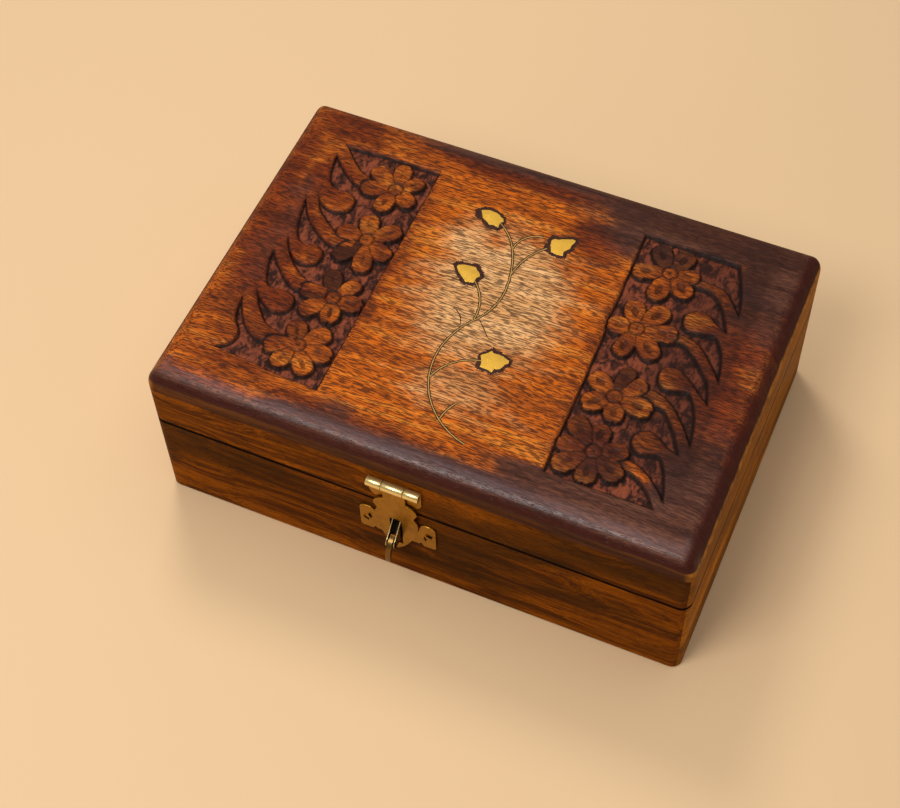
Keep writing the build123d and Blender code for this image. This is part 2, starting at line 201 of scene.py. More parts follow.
def closed_rings(rings):
    """A tube of stacked closed rings, with a fan about the mean of the ring over each end."""
    count, around, _ = rings.shape
    points = np.vstack([rings.reshape(-1, 3), rings[0].mean(axis=0), rings[-1].mean(axis=0)])
    first = np.arange(around)
    second = (first + 1) % around
    pole = np.full(around, count * around)
    last = (count - 1) * around
    fans = np.vstack([
        np.stack([second, first, pole], axis=1),
        np.stack([last + first, last + second, pole + 1], axis=1),
    ])
    return points, grid_faces(count, around, wrap=True).tolist() + fans.tolist()


def closed_sheet(points, axis, foot):
    """A grid of points closed behind: its border runs to a level on one axis, where a fan shuts it."""
    rows, columns, _ = points.shape
    sheet = points.reshape(-1, 3)
    number = np.arange(rows * columns).reshape(rows, columns)
    border = np.concatenate([number[0, :-1], number[:-1, -1], number[-1, :0:-1], number[:0:-1, 0]])
    skirt = sheet[border]
    skirt[:, axis] = foot
    below = len(sheet) + np.arange(len(border))
    beside = np.roll(below, -1)
    middle = np.full(len(border), len(sheet) + len(border))
    sides = np.stack([border, below, beside, np.roll(border, -1)], axis=1)
    fan = np.stack([beside, below, middle], axis=1)
    vertices = np.vstack([sheet, skirt, skirt.mean(axis=0)])
    return vertices, grid_faces(rows, columns).tolist() + sides.tolist() + fan.tolist()


def outward(points, faces):
    """The same faces, all turned over where the volume that they enclose comes out negative."""
    corners = np.array([(face[0], *pair) for face in faces for pair in zip(face[1:], face[2:])])
    first, second, third = (points[corners[:, index]] for index in range(3))
    volume = np.einsum("ij,ij->", first, np.cross(second, third))
    return points, faces if volume > 0 else [face[::-1] for face in faces]


# ---- Plane curves and distances, in millimetres ----


def smooth_line(points, per=7):
    """A Catmull-Rom curve through the points: cubics whose slopes are the chords of the neighbours."""
    given = np.asarray(points, dtype=float)
    if len(given) < 3:
        return given
    padded = np.vstack([2 * given[0] - given[1], given, 2 * given[-1] - given[-2]])
    share = np.linspace(0, 1, per, endpoint=False)[None, :, None]
    before, start, end, beyond = (padded[i : len(padded) - 3 + i, None, :] for i in range(4))
    cubic = -before + 3 * start - 3 * end + beyond
    square = 2 * before - 5 * start + 4 * end - beyond
    curve = 0.5 * (2 * start + (end - before) * share + square * share**2 + cubic * share**3)
    return np.vstack([curve.reshape(-1, 2), given[-1:]])


def outline_from(spans):
    """One closed outline from spans that meet at sharp corners: each goes on from the end of the one before
    it, and the first from the end of the last."""
    starts = [spans[-1][-1]] + [span[-1] for span in spans[:-1]]
    return np.vstack([smooth_line([start, *span])[:-1] for start, span in zip(starts, spans)])


def outline_distance(points, outline):
    """Signed distance of each point from a closed outline, positive inside: the nearest edge gives the
    size, and the parity of edges crossed by a line to the right gives the sign."""
    nearest = np.full(len(points), np.inf)
    inside = np.zeros(len(points), dtype=bool)
    for start, end in zip(outline, np.roll(outline, -1, axis=0)):
        edge = end - start
        offset = points - start
        share = np.clip(offset @ edge / (edge @ edge), 0, 1)
        gap = offset - share[:, None] * edge
        nearest = np.minimum(nearest, (gap**2).sum(axis=1))
        crosses = (start[1] > points[:, 1]) != (end[1] > points[:, 1])
        if crosses.any():
            inside ^= crosses & (points[:, 0] < start[0] + offset[:, 1] * edge[0] / edge[1])
    return np.where(inside, 1, -1) * np.sqrt(nearest)


def sideways(route):
    """The direction square to a route at each of its points."""
    ahead = np.gradient(route, axis=0)
    ahead /= np.hypot(*ahead.T)[:, None]
    return np.stack([-ahead[:, 1], ahead[:, 0]], axis=1)


def carried(route, section):
    """A section carried along a route: each corner has its distance to the side, at each point of the
    route, and its level."""
    side = sideways(route)
    edges = [
        np.column_stack([route + side * offset[:, None], np.full(len(route), level)])
        for offset, level in section
    ]
    return np.stack(edges, axis=1)


def polar_ring(middle, angles, reach, level):
    """A ring of points on one level, at a distance from a middle at each angle."""
    around = [middle[0] + reach * np.cos(angles), middle[1] + reach * np.sin(angles)]
    return np.column_stack([*around, np.full(len(angles), level)])


def polar_outline(corners, middle, angles):
    """Distance from a middle to a star-shaped outline at each angle, where the ray meets an edge."""
    start = np.asarray(corners) - middle
    edge = np.roll(start, -1, axis=0) - start
    ray_x, ray_y = np.cos(angles)[:, None], np.sin(angles)[:, None]
    cross = ray_x * edge[:, 1] - ray_y * edge[:, 0]
    cross = np.where(np.abs(cross) < 1e-9, 1e-9, cross)
    away = (start[:, 0] * edge[:, 1] - start[:, 1] * edge[:, 0]) / cross
    along = (start[:, 0] * ray_y - start[:, 1] * ray_x) / cross
    hit = (along >= -1e-6) & (along <= 1 + 1e-6) & (away > 0)
    return np.where(hit, away, np.inf).min(axis=1)


def ease(value):
    """0 below 0, 1 above 1, and a smooth cubic between."""
    share = np.clip(value, 0, 1)
    return share * share * (3 - 2 * share)


def bell(value, width, power=2):
    """1 at 0, falling to 1/e at the width; a higher power gives a flatter top and steeper sides."""
    return np.exp(-((value / width) ** power))


def ripple(x, y, scale, seed=0.0):
    """A smooth irregular field between about -1 and 1: the sum of five turned sine waves."""
    total = 0.0
    for index in range(5):
        angle = seed + 2.399 * index
        pitch = scale * (0.62 + 0.21 * index)
        along = x * math.cos(angle) + y * math.sin(angle)
        across = -x * math.sin(angle) + y * math.cos(angle)
        bend = np.sin(across / pitch * 2.1 + seed)
        total = total + np.sin(2 * math.pi * along / pitch + 1.7 * index + bend)
    return total / 5


# ---- Carved board ----

# The ground of each panel: spans of its outline, each from the end of the one before
LEFT_GROUND = [
    [(-41.4, 0), (-41.2, 52.0)],
    [(-60, 52.6), (-79.5, 51.5)],
    [(-75.4, 47.1), (-70.6, 42.8), (-65, 40), (-57, 39.5)],
    [(-57, 36.5)],
    [(-67, 35.8), (-73.4, 39.2), (-78.6, 43.9), (-81.5, 47.5)],
    [
        (-80, 38), (-77, 32), (-73, 30.2), (-70, 30.7), (-66, 28.8), (-65.2, 26), (-66.3, 22.8), (-70, 21.3),
        (-74, 22), (-78, 25.3), (-82, 31.5),
    ],
    [(-76, 20), (-70, 15), (-64, 11), (-57, 11)],
    [(-57, 8)],
    [(-64, 6.5), (-71, 9.8), (-77.5, 15.5), (-80.5, 20), (-83, 25)],
    [
        (-82, 18), (-80, 10), (-77, 4.5), (-73, 2.3), (-70, 4), (-66.5, 2.5), (-65.5, -0.5), (-66.5, -3.5),
        (-70, -5), (-73.5, -4.3), (-77.5, -0.5), (-81, 5.5),
    ],
    [(-79.5, 1), (-75.4, -4.8), (-69.6, -9.7), (-64.5, -12), (-57, -12)],
    [(-57, -15)],
    [(-66.5, -16.5), (-72.5, -13.5), (-78.5, -8), (-83, -2.5)],
    [
        (-82, -10), (-79, -17), (-76, -19.5), (-70.5, -18.7), (-66.5, -20.5), (-65.7, -23.5), (-66.8, -26.5),
        (-70.5, -28), (-75, -26), (-79, -22.5), (-82.5, -18),
    ],
    [(-78, -26), (-74, -31), (-69, -35), (-57, -37)],
    [(-57, -40)],
    [(-69, -41), (-76, -37.5), (-80.5, -31.5), (-84, -24)],
    [(-83, -32), (-81, -37), (-78.5, -40), (-77.5, -43), (-79, -46.5), (-84, -50)],
    [(-70, -51), (-56, -52.5), (-41.2, -53.2)],
]
RIGHT_GROUND = [
    [(40.3, -20), (39.8, -3), (39.6, 5), (39.2, 9.5)],
    [(38.2, 14)],
    [(38.8, 20), (38.3, 34), (37.9, 54)],
    [(56, 53.6), (74, 53)],
    [(76.5, 47), (79.5, 38), (81, 30)],
    [(74, 38.5), (69, 40.5), (60, 41)],
    [(60, 38)],
    [(68, 38), (74, 33), (79.5, 22)],
    [
        (74, 25), (71, 27.5), (68, 28), (64, 26), (63.5, 23), (65, 19.8), (68, 19), (72, 19.8), (75, 20.5),
        (78, 18), (81, 12), (83.5, 1),
    ],
    [(77, 9), (70, 15), (60, 16)],
    [(60, 11)],
    [(66, 13), (71, 10), (76, 5), (80, 0), (83, -9)],
    [
        (77, -4), (73, -0.5), (68, 2), (64, 0.5), (63.5, -2.5), (65, -5.8), (68, -7), (75, -5.5), (79, -11),
        (81.5, -18), (83, -27),
    ],
    [(78, -20), (72, -13.5), (66, -10), (60, -10)],
    [(60, -15)],
    [(69, -15), (74, -20), (78, -26), (80.5, -31)],
    [
        (75, -29), (72, -27), (68, -25.5), (64.5, -28), (64.5, -32), (68, -34.5), (74, -33), (77, -36),
        (80, -43), (82, -50.5),
    ],
    [(77, -45), (70, -40), (60, -38)],
    [(60, -42)],
    [(65, -42), (70, -43.5), (75, -47), (80, -53.5)],
    [(60, -53.6), (40.8, -53.6)],
]
# The flowers of each panel: an eye, then its petals: middle, radius, depth of gouge, depth of stain
LEFT_FLOWERS = [
    ((-53.6, 38.7), [
        (-62.3, 43.8, 3.4, 0.3, 0.1), (-62.7, 35.8, 3.5, 0.7, 0.0), (-55.0, 30.2, 3.5, 0.8, 0.0),
        (-47.6, 35.0, 3.4, 0.6, 0.0), (-47.4, 43.6, 3.0, 1.1, 0.2), (-54.4, 47.4, 3.4, 0.6, 0.2),
    ]),
    ((-53.5, 13.3), [
        (-55.8, 20.8, 3.7, 0.6, 0.1), (-62.0, 13.8, 3.5, 0.5, 0.1), (-59.2, 4.0, 3.5, 0.0, 0.9),
        (-50.3, 2.0, 3.6, 0.5, 0.1), (-45.6, 9.2, 3.7, 0.6, 0.0), (-46.2, 19.6, 3.6, 1.0, 0.1),
    ]),
    ((-53.4, -15.0), [
        (-57.3, -6.9, 3.4, 0.2, 0.9), (-48.7, -8.0, 3.1, 0.3, 0.1), (-45.7, -15.3, 3.7, 0.8, 0.0),
        (-51.2, -22.7, 3.6, 1.0, 0.2), (-59.6, -22.7, 3.5, 0.3, 0.0), (-62.5, -15.3, 3.4, 0.2, 0.5),
    ]),
    ((-55.8, -38.1), [
        (-59.2, -31.9, 3.7, 0.8, 0.3), (-49.8, -31.8, 3.7, 0.7, 0.0), (-46.2, -38.8, 3.7, 0.5, 0.0),
        (-50.1, -46.0, 3.7, 1.2, 0.0), (-59.0, -46.0, 3.5, 0.7, 0.0), (-63.8, -41.3, 3.6, 0.2, 0.0),
    ]),
]
RIGHT_FLOWERS = [
    ((52.1, 40.2), [
        (46.4, 47.9, 3.7, 0.6, 0.7), (55.2, 48.2, 3.7, 0.6, 0.7), (42.6, 37.4, 3.4, 0.8, 0.3),
        (50.8, 30.6, 3.8, 0.9, 0.1), (59.0, 34.4, 3.7, 1.1, 0.1), (59.6, 41.0, 3.3, 0.3, 0.4),
    ]),
    ((49.6, 13.1), [
        (46.1, 20.8, 3.8, 1.1, 0.1), (54.9, 21.8, 3.9, 1.0, 0.1), (60.4, 14.6, 3.7, 0.9, 0.1),
        (57.1, 5.5, 3.8, 1.1, 0.1), (47.8, 3.0, 3.3, 1.0, 0.1), (42.9, 11.8, 3.7, 0.7, 0.1),
    ]),
    ((52.5, -16.5), [
        (45.2, -12.2, 3.8, 0.9, 0.1), (46.2, -21.5, 3.9, 1.2, 0.2), (54.8, -23.6, 3.5, 0.6, 0.3),
        (62.7, -17.7, 3.8, 0.9, 0.2), (58.6, -10.2, 3.5, 0.3, 0.2), (53.6, -6.4, 3.1, 0.2, 0.8),
    ]),
    ((53.8, -39.6), [
        (53.6, -32.0, 3.5, 0.8, 0.4), (45.4, -32.0, 3.9, 0.4, 0.6), (44.8, -40.6, 3.7, 0.3, 0.3),
        (46.0, -47.6, 4.0, 0.4, 0.4), (54.6, -49.4, 3.7, 0.5, 0.6), (62.6, -45.3, 3.8, 0.5, 0.6),
        (61.4, -37.1, 3.7, 0.7, 0.4),
    ]),
]
# Each panel: its ground, its flowers, and the breadth of their gouges as a share of a petal's radius
PANELS = [(LEFT_GROUND, LEFT_FLOWERS, 0.27), (RIGHT_GROUND, RIGHT_FLOWERS, 0.42)]
# Where the board's grid is fine, and how wide its spacing is elsewhere
PANEL_NEAR, PANEL_FAR, PANEL_HALF_DEPTH = 37.2, 84.8, 54.6
PLAIN_SPACING = 3.2

# Patches of stain: the middle, the half widths and the strength of each
TAN_PATCHES = [(-1, 5, 26, 29, 1.0), (2, -34, 24, 16, 0.45), (-18, 26, 12, 14, 0.6), (58, -2, 18, 40, 0.2)]
RUSSET_PATCHES = [
    (-83, 1, 12, 40, 1.0), (-72, -22, 16, 16, 0.9), (-77, 34, 12, 14, 0.9), (-44, 8, 10, 60, 0.6),
    (40, 0, 7, 60, 0.4), (-74, 0, 36, 110, 0.55), (88, -10, 16, 26, 0.75), (86, 22, 14, 16, 0.85),
    (80, 0, 15, 70, 0.75), (54, 0, 18, 70, 0.52), (-10, 62, 60, 8, 0.85), (25, 44, 16, 12, 0.75),
    (-30, -60, 50, 6, 0.6), (12, -51, 30, 7, 0.35), (-80, 60, 26, 14, 0.7), (-88, -46, 10, 12, 0.4),
    (54, -40, 14, 13, 0.8), (-93, 25, 8, 50, 0.75),
]
UMBER_PATCHES = [
    (56, -46, 18, 12, 0.36), (56, 48, 20, 9, 0.36), (60, 58, 44, 9, 1.0), (-84, 0, 8, 36, 0.4),
    (-85, 25, 7, 9, 0.5), (55, -44, 11, 10, 0.42), (40, 52, 20, 12, 0.9), (20, 60, 14, 10, 0.6),
    (-32, -58, 9, 5, 0.6),
]
END_PATCHES = [(92, 52, 30, 30, 1.0), (92, -48, 30, 30, 1.0), (96, 0, 14, 90, 0.3)]
DUSK_PATCHES = [(58, 62, 52, 9, 1.0), (78, 50, 12, 10, 0.7), (20, -58, 26, 4, 0.3)]


def petal_surface(points, eye, breadth, index, petal, carving):
    """Inset, height and stain of one petal, a round cone in plan. The inset is a radius that grows outwards,
    less the distance from the line between the eye and the petal's middle; ripples chip it, and some tips
    are notched. The edge rolls down as a quarter ellipse, and a steep-sided oval is gouged along the petal.
    The stain is darkened in the gouge: painted shade."""
    x, y, radius, gouge, dark = petal
    axis = np.array([x, y]) - eye
    length = math.hypot(*axis)
    ahead_x, ahead_y = axis / length
    along = (points - eye) @ [ahead_x, ahead_y]
    across = (points - eye) @ [-ahead_y, ahead_x]
    share = np.clip(along / length, 0, 1)
    width = 2.5 + (radius - 2.3) * ease(share * 1.2)
    chips = 0.3 * ripple(*points.T, 2.4, 0.9 * index)
    notched = math.sin(5.3 * index + x) > -0.1
    notch = 0.75 * notched * bell(across, 0.55) * ease((along - length) / radius)
    inset = width - np.hypot(along - share * length, across) + chips - notch
    roll = np.clip(inset / carving["petal_round"], 0, 1)
    crown = -carving["petal_drop"] - 0.3 * (1 - share) - 0.1 * math.sin(2.3 * index + x)
    height = crown - (carving["depth"] * 0.98 + crown) * (1 - np.sqrt(1 - (1 - roll) ** 2))
    bend = across + 0.012 * (along - length) ** 2 * math.sin(3.1 * index + y)
    oval = np.hypot((along - 0.86 * length) / (0.8 * radius), bend / (breadth * radius))
    cut = ease((1 - oval) / 0.55)
    height = height - gouge * carving["hollow"] * cut * (0.6 + 0.4 * share)
    # The gouge's darkening is painted shade, over the petal's own stain
    return inset, height, dark + 0.7 * min(gouge, 1.0) * cut


def flower_surface(points, eye, breadth, petals, carving):
    """Height, stain, painted shade and reach of one flower over the ground. The petal that reaches furthest
    counts, a crease parts it from its neighbour where both reach equally far, and the eye is a ring groove
    round a dimple. Shade is painted dark along each petal's edge, in the creases, in the eye's groove and
    over its middle."""
    surfaces = [petal_surface(points, eye, breadth, *petal, carving) for petal in enumerate(petals)]
    insets, heights, stains = (np.array(rows) for rows in zip(*surfaces))
    order = np.argsort(insets, axis=0)
    first, second = order[-1], order[-2]
    column = np.arange(len(points))
    reach, rival = insets[first, column], insets[second, column]
    crease = bell(reach - rival, 0.42) * (rival > -0.2)
    height = np.where(reach > 0, heights[first, column] - 0.45 * crease, -np.inf)
    stain = np.where(reach > 0, stains[first, column], 0)
    shade_line = np.maximum(bell(reach - 0.1, 0.36), 0.9 * crease)
    from_eye = np.hypot(*(points - eye).T)
    ring = carving["eye_radius"]
    in_eye = from_eye < ring
    groove = bell(from_eye - ring, 0.36)
    button = -0.3 - 0.3 * (from_eye / ring) ** 2 - 0.6 * bell(from_eye, 0.7)
    reach = np.maximum(reach, ring - from_eye)
    height = np.maximum(np.where(in_eye, button, height) - 0.5 * groove, -carving["depth"] - 0.2)
    height = np.where(reach > 0, height, -np.inf)
    stain = np.where(in_eye, 0.15, stain)
    shade_line = np.maximum(np.where(in_eye, bell(from_eye, 0.55), shade_line), 0.9 * groove * (reach > 0))
    return height, stain, shade_line, reach


def carved_heights(points, carving):
    """How far the board's face drops at each point, and the marks of the carving: how sunk the point is, how
    much painted shade darkens it along the foot of the walls, round the flowers and in their creases, how
    dark it is stained, with painted shade in the petals' gouges and in the right panel's outer pockets, and
    whether it is on a petal. The ground falls off over the wall's width."""
    names = ("drop", "sunk", "burnt", "stain", "worked")
    fields = {name: np.zeros(len(points)) for name in names}
    for outline, flowers, breadth in PANELS:
        edge = outline_from(outline)
        low, high = edge.min(axis=0) - 2, edge.max(axis=0) + 2
        near = np.flatnonzero(((points > low) & (points < high)).all(axis=1))
        spot = points[near]
        x, y = spot.T
        inset = outline_distance(spot, edge)
        wander = 0.14 * ripple(x, y, 7.0, 0.4) + 0.16 * ripple(x, y, 2.2, 1.9)
        sunk = ease((inset + wander) / carving["wall"])
        punched = ripple(x, y, 2.3, 1.1) * ripple(x, y, 1.7, 2.6) + 0.6 * ripple(x, y, 9.0, 3.0)
        floor = -carving["depth"] + carving["stipple"] * punched
        bank = -0.28 * bell(np.minimum(inset, 0), 0.8)
        level = bank * (1 - sunk) + floor * sunk
        # Painted shade: a near-black band along the foot of each wall, wider on the right panel's outer side
        shade_width = 0.42 + 0.26 * ease((x - 57) / 8)
        shade_line = bell(inset - carving["wall"], shade_width, 4)
        # Painted shade: the ground of the right panel's outer pockets is darkened
        dark = 0.5 * ease((x - 56) / 6) * ease((y + 44) / 6)
        worked = np.zeros(len(spot))
        for eye, petals in flowers:
            height, stain, flower_shade, reach = flower_surface(spot, eye, breadth, petals, carving)
            on_top = (height > level) & (inset > 0)
            # Painted shade on the ground round each flower
            shade = bell(reach, 0.6, 4) * (reach > -2)
            level = np.where(on_top, height, level)
            sunk = np.where(on_top, 0, sunk)
            shade_line = np.where(on_top, flower_shade, np.maximum(shade_line, shade))
            dark = np.where(on_top, stain, dark)
            worked = np.where(on_top, 1, worked)
        for name, values in zip(names, (level, sunk, shade_line, dark, worked)):
            fields[name][near] = values
    return fields.pop("drop"), fields


def patches(x, y, given):
    """The strongest of several bell-shaped patches at each point."""
    fields = [share * bell(np.hypot((x - mx) / rx, (y - my) / ry), 1) for mx, my, rx, ry, share in given]
    return np.max(fields, axis=0)


def stain_fields(x, y, z):
    """Where the board is stained, from 0 to 1 for each stain: patches and smooth bands, of which the
    strongest counts. The rim is the dark edge along the right end, the back and low down: stain along the
    right end and the back, and painted shade on the bullnose's downturned lower half all round. A painted
    highlight, a pale line, runs along the front's bullnose. Side, end and nose tell the board's upright
    sides and its bullnose from its face."""
    umber = [
        ease(x / 34) * ease((y - 51) / 8),
        0.75 * ease((x + 80) / 50) * ease((y - 60) / 4),
        ease((x - 70) / 9) * patches(x, y, END_PATCHES),
        ease((x - 8) / 34) * ease((-50.5 - y) / 4),
        patches(x, y, UMBER_PATCHES),
        (0.78 + 0.17 * ease((x + 20) / 50)) * ease((-57.5 - y - 4 * ease((-45 - x) / 20)) / 6),
    ]
    # Dark rim: stain along the right end and the back; the last band is painted shade on the bullnose's
    # downturned lower half
    rim = [
        0.9 * ease((x - 93.5) / 3.5),
        0.5 * ease((y - 63) / 4) * ease((x + 20) / 40),
        0.92 * ease((69.8 - z) / 2.2),
    ]
    inset = np.minimum(BOARD_HALF_LENGTH - np.abs(x), BOARD_HALF_DEPTH - np.abs(y))
    upper = ease((z - 65) / 2)
    return {
        "tan": patches(x, y, TAN_PATCHES),
        "russet": patches(x, y, RUSSET_PATCHES),
        "umber": np.max(umber, axis=0),
        "dusk": patches(x, y, DUSK_PATCHES),
        "rim": np.max(rim, axis=0),
        # Painted highlight: a pale line along the front bullnose
        "bloom": bell(inset - 5.8, 1.7) * ease((-58 - y) / 4) * upper,
        "side": np.clip((69.5 - z) / 7.5, 0, 1),
        "end": ease((np.abs(x) - 96) / 3),
        "nose": ease((7.5 - inset) / 4.0) * ease((-58 - y) / 5) * upper,
    }


def board_lines(half, fine_low, fine_high, carving):
    """Grid lines from edge to edge: by angle round the bullnose, fine in the panels, coarse elsewhere."""
    nose, spacing = carving["bullnose"], carving["spacing"]
    round_edge = half - nose + nose * np.sin(np.radians(np.linspace(90, 0, 10)))
    fine = np.arange(fine_low, fine_high + spacing / 2, spacing)
    inner = np.linspace(0, fine_low, max(2, int(fine_low / PLAIN_SPACING)), endpoint=False)
    outer = np.linspace(fine_high, round_edge[-1], 4)[1:-1]
    positive = np.unique(np.round(np.concatenate([inner, fine, outer, round_edge]), 5))
    return np.unique(np.concatenate([-positive, positive]))


def carved_board(carving):
    """The board as one closed surface, with its marks: a grid whose corners are drawn in to a circle by the
    square-to-disc rule, whose height follows a quarter circle of the inset along its edges, less the
    carving's drop."""
    half_x, half_y = BOARD_HALF_LENGTH, BOARD_HALF_DEPTH
    nose, corner = carving["bullnose"], carving["corner"]
    columns = board_lines(half_x, PANEL_NEAR, PANEL_FAR, carving)
    rows = board_lines(half_y, 0.0, PANEL_HALF_DEPTH, carving)
    x, y = np.meshgrid(columns, rows)
    u = np.clip((np.abs(x) - (half_x - corner)) / corner, 0, 1)
    v = np.clip((np.abs(y) - (half_y - corner)) / corner, 0, 1)
    flat_x, flat_y = np.minimum(np.abs(x), half_x - corner), np.minimum(np.abs(y), half_y - corner)
    x = np.sign(x) * (flat_x + corner * u * np.sqrt(1 - v**2 / 2))
    y = np.sign(y) * (flat_y + corner * v * np.sqrt(1 - u**2 / 2))
    plain = np.minimum(half_x - np.abs(x), half_y - np.abs(y))
    past_x, past_y = np.abs(x) - half_x + corner, np.abs(y) - half_y + corner
    beyond = np.hypot(np.maximum(past_x, 0), np.maximum(past_y, 0))
    inset = np.clip(np.where((u > 0) & (v > 0), corner - beyond, plain), 0, nose)
    z = BOARD_TOP - nose + np.sqrt(np.maximum(nose**2 - (nose - inset) ** 2, 0))
    drop, carved = carved_heights(np.column_stack([x.ravel(), y.ravel()]), carving)
    z = z + drop.reshape(z.shape) - 0.02
    vertices, faces = closed_sheet(np.stack([x, y, z], axis=2), 2, BOARD_FOOT)
    behind = np.zeros(len(vertices) - x.size)
    marks = {name: np.concatenate([values, behind]) for name, values in carved.items()}
    return (vertices, faces), {**marks, **stain_fields(*vertices.T)}


# ---- Inlay ----

# The outline of each brass leaf, then that of the bed of filler round it
LEAVES = {
    "upper_left": (
        [
            (-20.7, 41.2), (-19.3, 41.9), (-17.7, 42.4), (-15.2, 42.3), (-13.6, 41.7), (-12.6, 40.9),
            (-11.5, 40.5), (-10.8, 39.0), (-11.7, 38.4), (-11.8, 37.3), (-11.6, 35.5), (-12.2, 35.9),
            (-14.1, 36.1), (-15.3, 35.7), (-16.8, 36.8), (-18.9, 38.0), (-19.7, 39.5),
        ],
        [
            (-22.7, 40.9), (-20.8, 42.7), (-18.2, 43.6), (-14.8, 43.3), (-12.3, 42.1), (-10.5, 40.9),
            (-9.9, 39.1), (-10.4, 37.3), (-10.3, 35.3), (-11.8, 34.2), (-15.0, 34.2), (-17.5, 35.2),
            (-19.2, 37.0), (-21.4, 37.5), (-22.1, 39.1),
        ],
    ),
    "upper_right": (
        [
            (8.0, 37.9), (8.8, 38.8), (10.2, 39.0), (11.6, 39.9), (13.9, 40.6), (15.0, 41.1), (16.3, 41.0),
            (16.4, 40.0), (15.8, 38.5), (15.8, 36.6), (14.9, 35.3), (14.3, 34.6), (14.1, 33.9),
            (14.6, 32.4), (12.3, 32.1), (11.2, 32.2), (9.8, 32.5), (9.1, 34.1), (8.3, 35.7),
        ],
        [
            (6.6, 37.5), (7.2, 40.2), (8.7, 40.2), (10.5, 40.2), (11.9, 41.0), (14.4, 42.1), (16.9, 42.0),
            (17.8, 40.5), (17.3, 38.5), (17.0, 36.0), (15.7, 33.9), (15.8, 31.8), (13.2, 31.0), (9.6, 31.2),
            (8.2, 32.1), (6.9, 32.6), (6.6, 34.6), (7.2, 35.7),
        ],
    ),
    "middle_left": (
        [
            (-18.7, 14.0), (-18.3, 15.0), (-16.5, 15.8), (-15.0, 16.1), (-12.0, 16.3), (-11.1, 15.3),
            (-9.8, 14.3), (-9.0, 12.9), (-9.8, 12.0), (-10.0, 10.9), (-10.1, 9.3), (-11.8, 8.9),
            (-13.0, 8.4), (-14.0, 9.4), (-15.6, 10.6), (-17.0, 11.7), (-17.9, 12.8),
        ],
        [
            (-20.2, 14.6), (-19.5, 15.9), (-17.5, 16.8), (-14.5, 17.1), (-12.9, 17.6), (-11.1, 17.6),
            (-9.8, 16.2), (-8.5, 15.0), (-7.7, 13.2), (-8.3, 11.1), (-8.9, 8.3), (-11.8, 7.6), (-14.4, 7.5),
            (-16.2, 9.5), (-17.7, 11.0), (-19.2, 12.9),
        ],
    ),
    "lower_right": (
        [
            (4.2, -18.5), (4.9, -17.7), (6.2, -16.5), (7.2, -15.0), (7.7, -15.8), (8.6, -15.9),
            (10.0, -15.7), (11.8, -15.9), (13.4, -16.6), (14.5, -17.0), (14.7, -18.1), (13.7, -19.0),
            (13.5, -20.1), (12.7, -21.5), (11.8, -22.1), (10.9, -22.2), (10.7, -23.9), (8.9, -23.4),
            (5.9, -23.3), (5.6, -21.5), (5.2, -20.4),
        ],
        [
            (3.3, -18.8), (4.6, -16.8), (6.4, -14.6), (7.2, -13.4), (8.2, -14.6), (10.5, -14.6),
            (13.2, -15.5), (15.4, -16.4), (15.6, -18.8), (14.5, -20.4), (13.8, -22.4), (11.7, -23.3),
            (11.2, -24.7), (8.0, -24.4), (5.0, -24.2), (3.9, -22.4), (4.2, -20.6),
        ],
    ),
}
# Each wire: its first heading, then the points that its arcs run through
WIRES = {
    "main": [(-4, 1), (13.5, -54.0), (-9.8, -26.0), (-3.5, -5.5), (1.5, 11.0), (-3.5, 29.0), (-12.0, 38.2)],
    "upper_right": [(1, 12), (0.6, 18.0), (8.0, 33.6)],
    "upper_tendril": [(0, 1), (-3.2, 29.1), (5.0, 37.8)],
    "middle_left": [(1, 12), (-3.8, -5.3), (-10.5, 10.6)],
    "lower_right": [(1, 4), (-8.1, -33.4), (5.5, -20.6)],
    "lower_tendril": [(1, 12), (1.8, -47.7), (4.4, -40.2)],
}
# Scratched tendrils with no wire left in them: a heading, then points, as above
SCRATCHES = [[(-1, 9), (-7.4, -9.2), (-12.4, -3.4)], [(1, -1), (-2.0, -4.6), (3.4, -10.5)]]
# How many points go round a leaf
LEAF_AROUND = 240
# How far leaves and wires stand above the lid's face, and how far fillers lie below it, each groove a step
# lower than the last, so that no two faces share a level
LEAF_RISE, WIRE_RISE = 0.03, 0.02
BED_SINK, GROOVE_SINK, SCRATCH_SINK = 0.005, 0.002, 0.001
# How deep each kind of piece goes
INLAY_DEPTH, BED_DEPTH, SCRATCH_DEPTH = 1.2, 1.6, 0.6
# How ragged each kind's outline is, and how far its top edge is rounded
LEAF_RAGGED, LEAF_ROUNDING, BED_ROUNDING = 0.06, 0.25, 0.04
WIRE_RAGGED, GROOVE_RAGGED, RIBBON_ROUNDING = 0.07, 0.22, 0.08
SCRATCH_WIDTH, SCRATCH_RAGGED, SCRATCH_ROUNDING = 0.4, 0.14, 0.04


def leaf_shape(corners, middle, ragged, top, foot, edge, seed):
    """A small plate: its outline in polar form about its middle, smoothed and with a slight wander, is
    shrunk ring by ring over a rounded edge to the face."""
    angles = np.linspace(0, 2 * math.pi, LEAF_AROUND, endpoint=False)
    radius = polar_outline(corners, middle, angles)
    radius = (np.roll(radius, 1) + 2 * radius + np.roll(radius, -1)) / 4
    radius = radius + ragged * sum(np.sin((angles + seed) * turns) for turns in (5, 13, 23, 37, 53)) / 3
    steps = [(0.0, foot), (0.0, top - edge), (edge * 0.35, top - edge * 0.35), (edge, top)]
    rings = [polar_ring(middle, angles, radius - inset, level) for inset, level in steps]
    return closed_rings(np.array(rings))


